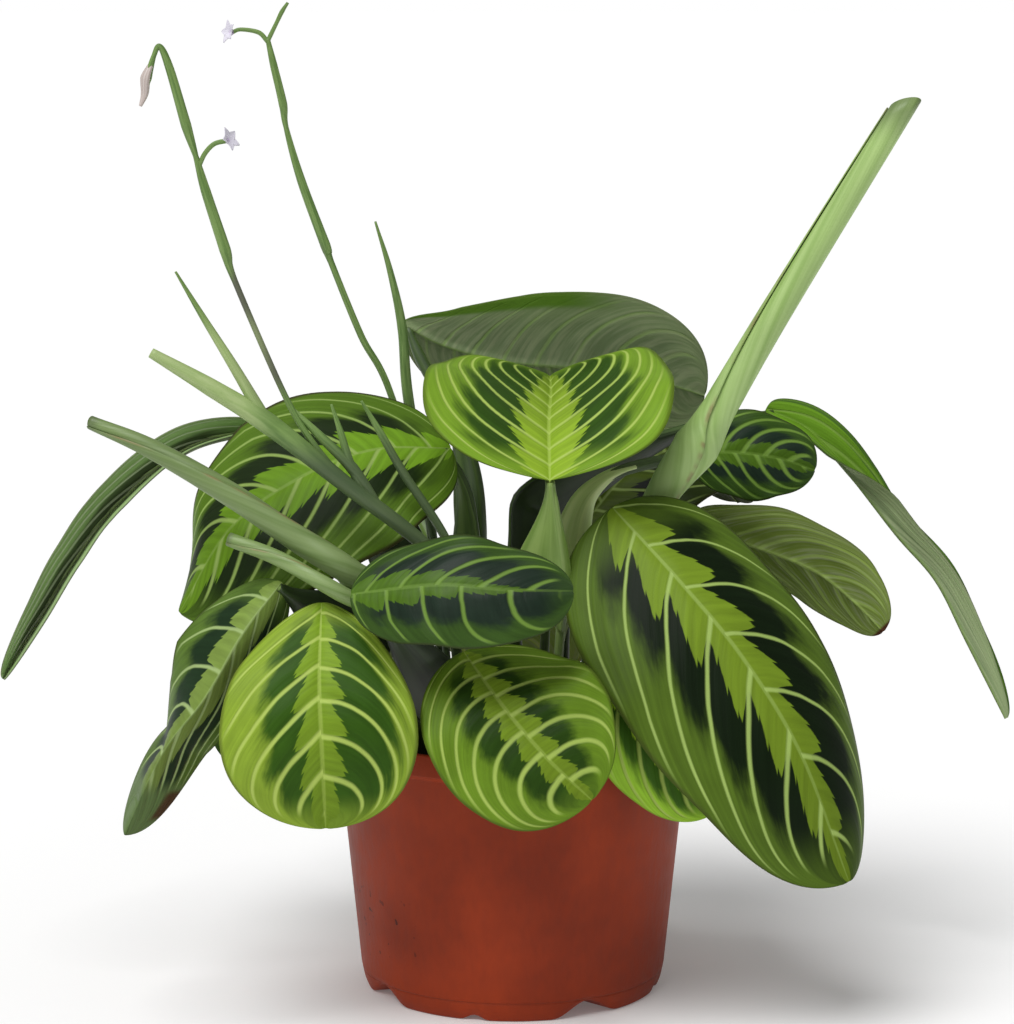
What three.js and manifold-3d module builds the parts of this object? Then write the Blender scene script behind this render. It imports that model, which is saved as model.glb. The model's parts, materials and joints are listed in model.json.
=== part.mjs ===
import * as THREE from "three";
import { mergeVertices } from "three/addons/utils/BufferGeometryUtils.js";
import Module from "manifold-3d";

// A prayer plant (Maranta) in a 12 cm plastic nursery pot.
// It has soil, leaves, rolled young leaves and flower shoots.
// Millimetres, +Z up. The front looks along +Y, with +X to the right.
// The origin is the middle of the pot's underside, on the surface that the pot stands on.

// Pot
const POT_HEIGHT = 92;
const RIM_RADIUS = 61.5;
const RIM_BAND = 8;
const RIM_STEP = 0.8;
const WALL = 1.2;
const WALL_TAPER = 0.1;
const FOOT_RADIUS = 50;
const FOOT_ROUNDING = 8;
const FOOT_KNEE = { height: 3.2, inset: 1, notchShare: 0.6 };
const RIM_UNDERCUT = 0.6;
const RIM_INNER_STEP = 2;
const CHANNEL_START = 22;
const POT_SIDES = 48;
const BIG_NOTCH = { at: 30, halfWidth: 15, height: 5.5 };
const SMALL_NOTCH = { at: -15, halfWidth: 6, height: 1.8 };
const NOTCH_PITCH = 90;
const DRAIN_RADIUS = 3.5;
const DRAIN_CIRCLE = 33;
const DRAIN_SIDES = 10;
const DRAIN_CUT = 30;

// Soil
const SOIL_LEVEL = 82;
const SOIL_BUMP = 0.8;
const SOIL_BUMPS_ROUND = 3;
const SOIL_BUMP_SPACING = 8;
const SOIL_RINGS = [50, 34, 18];
const SOIL_RISE = 0.5;
const SOIL_EDGE_DROP = 2;
const SOIL_CORNER_LIFT = 0.4;
const SOIL_WALL_LIFT = 1;
const GAP = 0.35;

// Stalks and blades
const ROOT_DEPTH = 14;
const UPRIGHT_ABOVE_SOIL = 3;
const HOLE_ABOVE_SOIL = 8;
const STALK_SIDES = 6;
const STALK_STEPS = 8;
const SHEATH_RADIUS = 2.9;
const STALK_RADIUS = 1.6;
const JOINT_RADIUS = 2.1;
const STALK_END_RADIUS = 0.7;
const STALK_INTO_BLADE = 0.1;
const SHEATH_THINS = [0.15, 0.5];
const JOINT_SWELLS = [0.76, 0.84];
const STALK_END_THINS = [0.92, 1];
const BLADE_THICKNESS = 0.8;
const BLADE_STATIONS = 8;
const BLADE_COLUMNS = [-1, -0.68, -0.34, 0, 0.34, 0.68, 1];
const BLADE_END_HALF_WIDTH = 0.9;
const WIDEST = 0.47;
const OUTLINE_POWER = 0.45;
const WAVES = 2.5;
const WAVE_SHIFT = 1 / 3;
const SLOPE_STEP_ALONG = 0.01;
const SLOPE_STEP_ACROSS = 0.1;
const STRAIGHT_BEND = 1e-4;
const LENGTH_STEPS = 420;
const NEARLY_ALONG_Y = 0.9;
const MERGE_WITHIN = 1e-3;

const COLOURS = {
  pot: 0x9a452c,
  soil: 0x3a2a20,
  lime: 0x8fb83a,
  green: 0x4f8a2c,
  dark: 0x2f5f2c,
  stalk: 0x9abf70,
  flowerStalk: 0x6f8f4a,
};
const ROUGHNESS = { pot: 0.55, soil: 0.95, plant: 0.45 };

// Each leaf: root is where its stalk leaves the soil, and stalk the points that it passes on the way up.
// rib is the midrib from the blade's base to its tip. face is the way the upper side looks, base to tip.
// fold and bend are degrees, [left, right] of the midrib, base to tip: fold lifts a half above the midrib,
// and bend curls it further towards its edge. halves are the greatest half-widths.
const LEAVES = [
  {
    name: "leaf_front_left",
    colour: "lime",
    root: [-18, -30],
    stalk: [[-42, -50, 124]],
    rib: [[-62, -61, 144], [-62, -78, 122], [-61, -86, 103], [-60, -85, 75]],
    face: [[-0.1, -0.7, 0.8], [0, -1, 0.3], [0, -1, 0]],
    halves: [31, 33],
    fold: [[8, 8], [2, 2]],
    bend: [[-24, -24], [-14, -14]],
    widest: 0.6,
    wave: 1,
  },
  {
    name: "leaf_front_middle",
    colour: "dark",
    root: [-5, -36],
    stalk: [[-28, -62, 124]],
    rib: [[-52, -73, 149], [-24, -84, 154], [-3, -87, 153], [19, -84, 152]],
    face: [[0.1, -0.8, 0.6], [0, -0.8, 0.6], [0.1, -0.8, 0.6]],
    halves: [20, 20],
    fold: [[-4, -10], [-4, -10]],
    bend: [[-14, -16], [-14, -16]],
    wave: 1,
  },
  {
    name: "leaf_front_right",
    colour: "lime",
    root: [5, -40],
    stalk: [[-4, -54, 112]],
    rib: [[-16, -62, 128], [-3, -78, 113], [11, -86, 98], [25, -88, 85]],
    face: [[0.1, -0.7, 0.7], [0.05, -1, 0.3], [0.1, -1, 0.1]],
    halves: [30, 30],
    fold: [[6, 6], [0, 0]],
    bend: [[-20, -20], [-12, -12]],
    widest: 0.52,
    wave: 1,
  },
  {
    name: "leaf_right_large",
    colour: "green",
    root: [19, -18],
    stalk: [[27, -20, 130], [30, -22, 158]],
    rib: [[33, -28, 170], [56, -48, 147], [75, -60, 125], [93, -70, 96], [109, -72, 54]],
    face: [[0.1, -0.7, 0.7], [0.2, -0.85, 0.5], [0.2, -0.95, 0.2]],
    halves: [37, 44],
    fold: [[4, -14], [-24, 0]],
    bend: [[-22, -16], [-40, -10]],
    widest: 0.43,
    wave: 1.4,
  },
  {
    name: "leaf_centre_top",
    colour: "lime",
    root: [12, -28],
    stalk: [[16, -38, 140]],
    rib: [[12, -42, 181], [12, -15, 196], [13, 12, 203], [13, 38, 206]],
    face: [[0, -0.6, 0.9], [0, -0.3, 1], [0, 0, 1]],
    halves: [44, 44],
    fold: [[22, 22], [28, 34]],
    bend: [[-16, -16], [-16, -16]],
    widest: 0.4,
    wave: 1,
  },
  {
    name: "leaf_back_top",
    colour: "dark",
    root: [-9, 22],
    stalk: [[-11, 25, 142], [-15, 37, 178], [-32, 50, 210]],
    rib: [[-39, 54, 223], [-24, 56, 215], [-2, 57, 209], [26, 59, 206], [50, 58, 202], [68, 56, 197]],
    face: [[0, 0.9, 0.3], [0, 0.9, 0.4], [0.1, 0.9, 0.4]],
    halves: [31, 32],
    fold: [[6, 6], [4, 4]],
    bend: [[-12, -12], [-12, -12]],
    widest: 0.64,
    wave: 0.8,
  },
  {
    name: "leaf_left_upper",
    colour: "green",
    root: [-14, -3],
    stalk: [[-12, -2, 140], [-15, -1, 168]],
    rib: [[-21, 0, 186], [-47, -12, 187], [-71, -22, 179], [-94, -30, 163], [-111, -30, 135]],
    face: [[0, -0.5, 0.85], [-0.1, -0.6, 0.8], [-0.7, -0.6, 0.4]],
    halves: [40, 38],
    fold: [[-4, 4], [-6, 0], [-10, -22]],
    bend: [[-12, 0], [-16, -10], [-20, -24]],
    wave: 1.2,
  },
  {
    name: "leaf_left_hanging",
    colour: "dark",
    root: [-26, 14],
    stalk: [[-38, 26, 140], [-62, 36, 182]],
    rib: [[-88, 34, 188], [-113, 30, 181], [-136, 24, 163], [-150, 16, 145], [-161, 10, 127], [-175, 5, 105]],
    face: [[-0.3, -0.9, 0.4], [-0.2, -1, 0.1], [-0.1, -1, 0.1]],
    halves: [17, 16],
    fold: [[68, 66], [72, 68]],
    bend: [[4, 4], [4, 4]],
    wave: 0.4,
  },
  {
    name: "leaf_left_lower",
    colour: "green",
    root: [-29, -17],
    stalk: [[-52, -40, 126]],
    rib: [[-75, -57, 150], [-87, -66, 135], [-99, -72, 115], [-113, -74, 97], [-126, -70, 69]],
    face: [[-0.2, -0.9, 0.5], [-0.1, -1, 0.2], [-0.1, -1, 0.2]],
    halves: [27, 27],
    fold: [[-70, -12], [-70, -36], [-70, -74], [-62, -62]],
    bend: [[-10, -30], [0, 0], [0, 0], [0, 0]],
    wave: 1,
  },
  {
    name: "leaf_left_under",
    colour: "dark",
    root: [-34, -6],
    stalk: [[-48, -18, 112]],
    rib: [[-54, -26, 124], [-70, -36, 117], [-84, -42, 103], [-92, -44, 86]],
    face: [[-0.3, -0.6, 0.8], [-0.4, -0.8, 0.6], [-0.5, -0.9, 0.2]],
    halves: [20, 20],
    fold: [[0, 0], [20, 20]],
    bend: [[-20, -20], [-10, -10]],
    wave: 1,
  },
  {
    name: "leaf_right_middle",
    colour: "green",
    root: [24, 6],
    stalk: [[34, 10, 130], [46, 14, 148]],
    rib: [[60, 16, 158], [84, 14, 150], [104, 10, 142], [117, 7, 132], [127, 4, 122]],
    face: [[0.4, 0.7, 0.6], [0.3, 0.85, 0.4], [0.3, 0.9, 0.3]],
    halves: [17, 17],
    fold: [[6, 6], [6, 6]],
    bend: [[10, 10], [10, 10]],
    wave: 1,
  },
  {
    name: "leaf_right_upper",
    colour: "dark",
    root: [16, 14],
    stalk: [[20, 2, 151], [31, 12, 173]],
    rib: [[60, 28, 180], [76, 32, 180], [92, 32, 178], [105, 30, 174]],
    face: [[0, -0.85, 0.55], [0, -0.85, 0.5], [0.3, -0.85, 0.4]],
    halves: [17, 17],
    fold: [[4, 4], [0, 0]],
    bend: [[-14, -14], [-14, -14]],
    wave: 1,
  },
  {
    name: "leaf_right_hanging",
    colour: "dark",
    root: [2, 10],
    stalk: [[0, 10, 150], [8, 17, 172], [62, 49, 186]],
    rib: [[90, 58, 192], [106, 57, 184], [121, 52, 168], [136, 43, 149], [149, 36, 134], [159, 28, 114],
      [172, 20, 88]],
    face: [[0, -0.75, 0.65], [0.2, -0.6, 0.8], [0.7, 0.2, 0.65], [0.75, 0.1, 0.6], [0.8, 0.1, 0.5],
      [0.9, 0, 0.4]],
    halves: [10, 9],
    fold: [[20, 20], [82, 76]],
    bend: [[0, 0], [10, 10]],
    widest: 0.38,
    wave: 0.4,
  },
  {
    name: "leaf_right_under",
    colour: "lime",
    root: [27, -30],
    stalk: [[26, -38, 110]],
    rib: [[28, -44, 124], [43, -54, 104], [55, -55, 88], [66, -52, 72]],
    face: [[0.2, -0.8, 0.6], [0.2, -1, 0.3], [0.2, -1, 0.1]],
    halves: [21, 21],
    fold: [[6, 6], [0, 0]],
    bend: [[-16, -16], [-16, -16]],
    wave: 1,
  },
  {
    name: "leaf_right_low",
    colour: "green",
    root: [34, -12],
    stalk: [[42, -8, 112]],
    rib: [[52, -4, 132], [70, -2, 126], [86, 0, 106], [94, 2, 82]],
    face: [[0.2, -0.1, 1], [0.7, -0.1, 0.7], [1, 0, 0.2]],
    halves: [25, 25],
    fold: [[8, 8], [2, 2]],
    bend: [[-20, -20], [-12, -12]],
    wave: 1.2,
  },
  {
    name: "leaf_back_right_low",
    colour: "green",
    root: [34, 20],
    stalk: [[42, 34, 112]],
    rib: [[46, 50, 138], [61, 68, 133], [75, 84, 111], [81, 90, 82]],
    face: [[0, 0.1, 1], [0.5, 0.6, 0.7], [0.65, 0.75, 0.2]],
    halves: [29, 29],
    fold: [[8, 8], [2, 2]],
    bend: [[-20, -20], [-12, -12]],
    wave: 1.2,
  },
  {
    name: "leaf_back_right",
    colour: "green",
    root: [10, 32],
    stalk: [[14, 50, 132]],
    rib: [[26, 66, 150], [44, 79, 168], [64, 96, 171], [84, 112, 150]],
    face: [[-0.1, -0.9, 0.5], [0, -0.5, 0.9], [0.5, 0.5, 0.7]],
    halves: [30, 30],
    fold: [[10, 10], [4, 4]],
    bend: [[-18, -18], [-14, -14]],
    widest: 0.4,
    wave: 1.2,
  },
  {
    name: "leaf_back_low",
    colour: "lime",
    root: [-2, 40],
    stalk: [[0, 50, 112]],
    rib: [[3, 62, 134], [4, 84, 130], [3, 104, 110], [3, 112, 82]],
    face: [[0, -0.1, 1], [0, 0.8, 0.7], [0, 1, 0.1]],
    halves: [35, 35],
    fold: [[4, 4], [0, 0]],
    bend: [[-20, -20], [-12, -12]],
    wave: 1.2,
  },
  {
    name: "leaf_back_high",
    colour: "green",
    root: [-17, 33],
    stalk: [[-24, 50, 130]],
    rib: [[-36, 70, 160], [-46, 92, 168], [-54, 114, 160], [-60, 130, 140]],
    face: [[0, -0.1, 1], [0, 0.3, 1], [0, 0.9, 0.5]],
    halves: [26, 26],
    fold: [[10, 10], [4, 4]],
    bend: [[-18, -18], [-14, -14]],
    wave: 1.2,
  },
  {
    name: "leaf_back_left_low",
    colour: "dark",
    root: [-31, 27],
    stalk: [[-36, 38, 108]],
    rib: [[-37, 50, 122], [-50, 70, 116], [-61, 86, 98], [-66, 93, 74]],
    face: [[0, 0.1, 1], [-0.5, 0.6, 0.7], [-0.65, 0.75, 0.2]],
    halves: [30, 27],
    fold: [[8, 8], [2, 2]],
    bend: [[-20, -20], [-12, -12]],
    wave: 1.2,
  },
  {
    name: "leaf_back_left",
    colour: "green",
    root: [-39, 9],
    stalk: [[-52, 22, 124]],
    rib: [[-68, 34, 150], [-84, 48, 150], [-98, 60, 134], [-106, 66, 110]],
    face: [[0.1, -0.1, 1], [-0.5, 0.3, 0.8], [-0.8, 0.5, 0.2]],
    halves: [27, 27],
    fold: [[8, 8], [2, 2]],
    bend: [[-20, -20], [-12, -12]],
    wave: 1.2,
  },
];

// Rolled young leaves: a tube with an overlapping edge that winds round it, on a stalk with a sheath.
// Each point of the path is [x, y, z, radius].
const ROLLED_SIDES = 10;
const ROLL_OVERLAP = 0.22;
const ROLL_TURN = 200;
const ROLLED_PARTS = 2;
const ROLL_START = 4;
const ROLL_GROWN_BY = 1 / 3;
const ROLLED = [
  {
    name: "rolled_leaf_right",
    root: [27, -3],
    path: [[36, -5, 140, 3], [50, -6, 170, 5], [62, -6, 187, 7], [69.5, -6, 200, 5], [89, -6, 234, 4.4],
      [130, -6, 302, 3.6]],
    slant: 1.1,
  },
  {
    name: "rolled_leaf_left",
    root: [-24, -24],
    path: [[-36, -44, 138, 3], [-53, -56, 153, 3.8], [-69, -54, 163, 3.7], [-92, -50, 178, 3.5],
      [-118, -44, 192, 2.8], [-138, -40, 200, 1.9]],
    slant: 0.6,
  },
  {
    name: "rolled_leaf_small",
    root: [-12, -20],
    path: [[-34, -52, 132, 2.2], [-56, -66, 148, 2.2], [-75, -60, 158, 2.2], [-92, -56, 164, 1.9]],
    slant: 0.3,
  },
];

// Flower shoots: stems whose bracts swell them, pointed bract tips, and small flowers.
// Each point is [x, y, z, radius]. A bloom is where a flower sits, and the way it looks.
const SHOOT_SIDES = 6;
const SHOOT_PARTS = 1;
const SHOOTS = [
  {
    name: "flower_shoot_left",
    stems: [
      { root: [-5, -14],
        path: [[-10, -30, 130, 2.2], [-26, -44, 157, 2.4], [-54, -52, 181, 2.8], [-79, -52, 201, 3.6],
          [-98, -51, 213, 3], [-117, -50, 224, 1.7]] },
      { path: [[-54, -52, 181, 1.2], [-66, -50, 196, 1.1], [-75, -48, 212, 1], [-90, -46, 247, 1],
        [-93, -46, 257, 1.9], [-99, -46, 276, 1.6], [-102, -46, 287, 0.9], [-105, -46, 297, 1.7],
        [-110, -46, 315, 1.4], [-113, -46, 322, 0.9], [-115, -46, 319, 0.8], [-117, -46, 312, 1.3],
        [-118, -46, 308, 0.6]] },
      { path: [[-101, -46, 284, 0.8], [-99, -46, 288, 0.8], [-96, -46, 291, 0.8], [-92, -46, 292, 0.8]] },
      { path: [[-80, -52, 202, 2.2], [-90, -50, 219, 1.7], [-100, -48, 235, 1.1], [-109, -47, 250, 0.4]] },
      { path: [[-42, -49, 171, 1.2], [-52, -50, 186, 2], [-63, -49, 197, 1.5], [-73, -48, 207, 0.4]] },
      { path: [[-48, -51, 176, 1.2], [-53, -50, 188, 1.5], [-56, -49, 198, 1.1], [-59, -48, 207, 0.4]] },
      { path: [[-14, -34, 137, 1.6], [-22, -34, 160, 1.5], [-36, -33, 182, 1.5], [-44, -32, 196, 1.2],
        [-50, -31, 206, 0.4]] },
    ],
    blooms: [{ at: [-92, -46, 292], look: [0.8, -0.5, 0.4] }],
  },
  {
    name: "flower_shoot_back",
    stems: [
      { root: [-21, 5],
        path: [[-27, 15, 150, 1.4], [-42, 20, 202, 1.2], [-52, 20, 222, 1.2], [-62, 20, 247, 1.1],
          [-64, 20, 253, 1.8], [-72, 20, 275, 1.5], [-77, 20, 293, 0.9], [-78, 20, 301, 1.5],
          [-81, 20, 314, 1.3], [-83, 20, 323, 0.8]] },
      { path: [[-83, 20, 322, 0.8], [-86, 20, 325, 0.8], [-92, 20, 326, 0.7], [-95, 20, 325, 0.7]] },
      { path: [[-83, 20, 322, 0.8], [-80, 20, 328, 0.7], [-78, 20, 332, 0.8], [-76, 20, 335, 0.5]] },
    ],
    blooms: [{ at: [-95, 20, 325], look: [-0.8, -0.5, 0.2] }],
  },
  {
    name: "pointed_shoot_back",
    stems: [
      { root: [-24, 24],
        path: [[-28, 30, 150, 1.8], [-36, 26, 199, 1.9], [-38, 24, 224, 1.7], [-42, 22, 244, 1.1],
          [-47, 22, 261, 0.4]] },
    ],
    blooms: [],
  },
];
const PETALS = 5;
const PETAL_LENGTH = 5.5;
const PETAL_HALF_WIDTH = 1.8;
const PETAL_HALF_THICKNESS = 0.45;
const PETAL_SPREAD = 55;
const PETAL_SINK = 0.8;

const wasm = await Module();
wasm.setup();

const { degToRad, lerp, smoothstep } = THREE.MathUtils;
const upTo = (count) => Array.from({ length: count }, (_, i) => i);
const vector = ([x, y, z]) => new THREE.Vector3(x, y, z);
const curveThrough = (points) => new THREE.CatmullRomCurve3(points, false, "catmullrom", 0.5);

// A manifold solid from points and triangles, turned to face out if they face in.
function solidFrom(points, triangles) {
  const make = (faces) =>
    new wasm.Manifold(new wasm.Mesh({
      numProp: 3,
      vertProperties: new Float32Array(points.flatMap((p) => p.toArray())),
      triVerts: new Uint32Array(faces.flat()),
    }));
  const solid = make(triangles);
  return solid.volume() > 0 ? solid : make(triangles.map(([a, b, c]) => [a, c, b]));
}

// A solid swept through rings of points, closed by a fan at each end.
function sweepRings(rings) {
  const sides = rings[0].length;
  const points = rings.flat();
  const triangles = [];
  for (let k = 0; k + 1 < rings.length; k++) {
    for (let i = 0; i < sides; i++) {
      const j = (i + 1) % sides;
      const [a, b] = [k * sides + i, k * sides + j];
      triangles.push([a, b, b + sides], [a, b + sides, a + sides]);
    }
  }
  const lastRing = (rings.length - 1) * sides;
  for (const [start, turned] of [[0, true], [lastRing, false]]) {
    const ring = points.slice(start, start + sides);
    const centre = ring.reduce((sum, p) => sum.add(p), new THREE.Vector3()).divideScalar(sides);
    const middle = points.push(centre) - 1;
    for (let i = 0; i < sides; i++) {
      const [a, b] = [start + i, start + ((i + 1) % sides)];
      triangles.push(turned ? [b, a, middle] : [a, b, middle]);
    }
  }
  return solidFrom(points, triangles);
}

// Sections carried along a curve without turning about it: [point, side, up] at each share of its length.
function sectionsAlong(curve, shares) {
  let side = null;
  return shares.map((share) => {
    const tangent = curve.getTangentAt(share);
    const start = Math.abs(tangent.y) < NEARLY_ALONG_Y ? vector([0, 1, 0]) : vector([1, 0, 0]);
    const from = side || start;
    side = from.clone().addScaledVector(tangent, -from.dot(tangent)).normalize();
    return { point: curve.getPointAt(share), side: side.clone(), up: tangent.clone().cross(side), tangent };
  });
}

function ringAt({ point, side, up }, radiusAt, sides) {
  return upTo(sides).map((i) => {
    const angle = (2 * Math.PI * i) / sides;
    const radius = radiusAt(angle);
    return point.clone()
      .addScaledVector(side, radius * Math.cos(angle))
      .addScaledVector(up, radius * Math.sin(angle));
  });
}

const evenShares = (steps) => upTo(steps + 1).map((k) => k / steps);

// The pot's underside rises by this much where a drainage channel runs out under the rim of the foot.
function notchHeight(angleDeg) {
  const rise = ({ at, halfWidth, height }) => {
    const turned = (angleDeg - at) % NOTCH_PITCH;
    const off = Math.abs((turned + NOTCH_PITCH * 1.5) % NOTCH_PITCH - NOTCH_PITCH / 2);
    return off < halfWidth ? (height * (1 + Math.cos((Math.PI * off) / halfWidth))) / 2 : 0;
  };
  return rise(BIG_NOTCH) + rise(SMALL_NOTCH);
}

const wallRadius = (z) => RIM_RADIUS - RIM_STEP - WALL_TAPER * (POT_HEIGHT - z);

// A solid of revolution whose lower points follow the notches.
// Each profile point is [radius, z, share of the notch], and lift adds to its height.
function notchedRevolution(profile, lift) {
  const rings = profile.map(([radius, z, notch]) =>
    upTo(POT_SIDES).map((i) => {
      const angle = (360 * i) / POT_SIDES;
      const turned = degToRad(angle - 90);
      const height = z + notch * notchHeight(angle) + lift(radius, turned, z);
      return new THREE.Vector3(radius * Math.cos(turned), radius * Math.sin(turned), height);
    }));
  return sweepRings(rings);
}

function makePot() {
  const shoulder = POT_HEIGHT - RIM_BAND;
  const corner = wallRadius(FOOT_ROUNDING);
  const knee = corner - FOOT_KNEE.inset;
  const body = notchedRevolution([
    [CHANNEL_START, WALL, 0],
    [FOOT_RADIUS - WALL, WALL, 1],
    [knee - WALL, FOOT_KNEE.height + WALL / 2, FOOT_KNEE.notchShare],
    [corner - WALL, FOOT_ROUNDING, 0],
    [wallRadius(shoulder) - WALL, shoulder, 0],
    [RIM_RADIUS - WALL, shoulder + RIM_INNER_STEP, 0],
    [RIM_RADIUS - WALL, POT_HEIGHT, 0],
    [RIM_RADIUS, POT_HEIGHT, 0],
    [RIM_RADIUS, shoulder, 0],
    [wallRadius(shoulder), shoulder - RIM_UNDERCUT, 0],
    [corner, FOOT_ROUNDING, 0],
    [knee, FOOT_KNEE.height, FOOT_KNEE.notchShare],
    [FOOT_RADIUS, 0, 1],
    [CHANNEL_START, 0, 0],
  ], () => 0);
  const drains = upTo(360 / NOTCH_PITCH).map((k) => {
    const angle = degToRad(BIG_NOTCH.at + NOTCH_PITCH * k - 90);
    const drain = new THREE.CylinderGeometry(DRAIN_RADIUS, DRAIN_RADIUS, DRAIN_CUT, DRAIN_SIDES)
      .rotateX(Math.PI / 2)
      .translate(DRAIN_CIRCLE * Math.cos(angle), DRAIN_CIRCLE * Math.sin(angle), 0);
    return solidOfGeometry(drain);
  });
  return wasm.Manifold.difference([body, ...drains]);
}

// Soil fills the pot from just above its floor, and its top is slightly uneven.
function makeSoil(holes) {
  const insideWall = (z) => wallRadius(z) - WALL - GAP;
  const corner = insideWall(FOOT_ROUNDING);
  const floor = WALL + GAP;
  const edge = SOIL_LEVEL - SOIL_EDGE_DROP;
  const bump = (radius, angle, z) => {
    const swirl = SOIL_BUMPS_ROUND * angle + radius / SOIL_BUMP_SPACING;
    return z < SOIL_LEVEL ? 0 : SOIL_BUMP * Math.sin(swirl) * Math.cos(radius / SOIL_BUMP_SPACING);
  };
  const body = notchedRevolution([
    [CHANNEL_START, floor, 0],
    [FOOT_RADIUS - WALL - GAP, floor + SOIL_CORNER_LIFT, 1],
    [corner - FOOT_KNEE.inset, FOOT_KNEE.height + WALL / 2 + GAP, FOOT_KNEE.notchShare],
    [corner, FOOT_ROUNDING + SOIL_WALL_LIFT, 0],
    [insideWall(edge), edge, 0],
    ...SOIL_RINGS.map((radius, k) => [radius, SOIL_LEVEL + SOIL_RISE * k, 0]),
  ], bump);
  return largestBody(wasm.Manifold.difference([body, ...holes]));
}

// Cutting the holes can free a crumb of soil between two stalks, which is left out.
function largestBody(solid) {
  return solid.decompose().sort((a, b) => b.volume() - a.volume())[0];
}

function solidOfGeometry(geometry) {
  const bare = geometry.clone().deleteAttribute("normal").deleteAttribute("uv");
  const merged = mergeVertices(bare, MERGE_WITHIN);
  const position = merged.getAttribute("position");
  const points = upTo(position.count).map((i) => new THREE.Vector3().fromBufferAttribute(position, i));
  const index = Array.from(merged.index.array);
  const triangles = upTo(index.length / 3).map((i) => index.slice(3 * i, 3 * i + 3));
  return solidFrom(points, triangles);
}

// A list of rows of numbers, mixed at a share of the way along it.
function mixAt(list, share) {
  const place = share * (list.length - 1);
  const k = Math.min(Math.floor(place), list.length - 2);
  return list[k].map((value, i) => lerp(value, list[k + 1][i], place - k));
}

// Half-width of a blade as a share of its widest: an oval, a little fuller than an ellipse.
function outlineShare(leaf, u) {
  const s = Math.pow(u, Math.log(0.5) / Math.log(leaf.widest || WIDEST));
  return Math.pow(Math.max(0, 4 * s * (1 - s)), OUTLINE_POWER);
}

// A point of the blade's middle surface: u from base to tip, v from -1 at the left edge to 1 at the right.
function bladePoint(leaf, ribCurve, u, v) {
  const tangent = ribCurve.getTangentAt(u);
  const face = vector(mixAt(leaf.face, u));
  const up = face.addScaledVector(tangent, -face.dot(tangent)).normalize();
  const side = tangent.clone().cross(up);
  const which = v < 0 ? 0 : 1;
  const half = Math.max(BLADE_END_HALF_WIDTH, leaf.halves[which] * outlineShare(leaf, u));
  const fold = degToRad(mixAt(leaf.fold, u)[which]);
  const bend = degToRad(mixAt(leaf.bend, u)[which]) || STRAIGHT_BEND;
  const reach = Math.abs(v);
  const out = (half / bend) * (Math.sin(fold + bend * reach) - Math.sin(fold));
  const lift = (half / bend) * (Math.cos(fold) - Math.cos(fold + bend * reach));
  const phase = 2 * Math.PI * (WAVES * u + WAVE_SHIFT * which);
  const wave = leaf.wave * v * v * outlineShare(leaf, u) * Math.sin(phase);
  return ribCurve.getPointAt(u).addScaledVector(side, out * Math.sign(v)).addScaledVector(up, lift + wave);
}

// The blade as a thin closed solid, with its upper and lower faces split into triangles alike.
function makeBlade(leaf, ribCurve) {
  const columns = BLADE_COLUMNS.length;
  const stations = evenShares(BLADE_STATIONS).map((share) => (1 - Math.cos(Math.PI * share)) / 2);
  const upper = [];
  const lower = [];
  for (const u of stations) {
    for (const v of BLADE_COLUMNS) {
      const point = bladePoint(leaf, ribCurve, u, v);
      const [before, after] = [Math.max(0, u - SLOPE_STEP_ALONG), Math.min(1, u + SLOPE_STEP_ALONG)];
      const along = bladePoint(leaf, ribCurve, after, v).sub(bladePoint(leaf, ribCurve, before, v));
      const [left, right] = [Math.max(-1, v - SLOPE_STEP_ACROSS), Math.min(1, v + SLOPE_STEP_ACROSS)];
      const across = bladePoint(leaf, ribCurve, u, right).sub(bladePoint(leaf, ribCurve, u, left));
      const normal = across.cross(along).normalize().multiplyScalar(BLADE_THICKNESS / 2);
      upper.push(point.clone().add(normal));
      lower.push(point.clone().sub(normal));
    }
  }
  const count = upper.length;
  const at = (k, i) => k * columns + i;
  const lastColumn = columns - 1;
  const triangles = [];
  for (const k of upTo(BLADE_STATIONS)) {
    for (const i of upTo(lastColumn)) {
      const [a, b] = [at(k, i), at(k, i + 1)];
      const [c, d] = [at(k + 1, i + 1), at(k + 1, i)];
      for (const [p, q, r] of [[a, b, c], [a, c, d]]) {
        triangles.push([p, q, r], [r + count, q + count, p + count]);
      }
    }
  }
  const rim = [
    ...upTo(lastColumn).map((i) => at(0, i)),
    ...upTo(BLADE_STATIONS).map((k) => at(k, lastColumn)),
    ...upTo(lastColumn).map((i) => at(BLADE_STATIONS, lastColumn - i)),
    ...upTo(BLADE_STATIONS).map((k) => at(BLADE_STATIONS - k, 0)),
  ];
  rim.forEach((a, i) => {
    const b = rim[(i + 1) % rim.length];
    triangles.push([b, a, a + count], [b, a + count, b + count]);
  });
  return solidFrom([...upper, ...lower], triangles);
}

const rootBottom = ([x, y]) => new THREE.Vector3(x, y, SOIL_LEVEL - ROOT_DEPTH);
const rootTop = ([x, y]) => new THREE.Vector3(x, y, SOIL_LEVEL + UPRIGHT_ABOVE_SOIL);

// A leaf's stalk is a sheath at the soil, thins, and swells at the joint under the blade.
function stalkRadius(share) {
  const sheath = lerp(SHEATH_RADIUS, STALK_RADIUS, smoothstep(share, ...SHEATH_THINS));
  const joint = (JOINT_RADIUS - STALK_RADIUS) * smoothstep(share, ...JOINT_SWELLS);
  const end = smoothstep(share, ...STALK_END_THINS);
  return lerp(sheath + joint, STALK_END_RADIUS, end);
}

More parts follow.
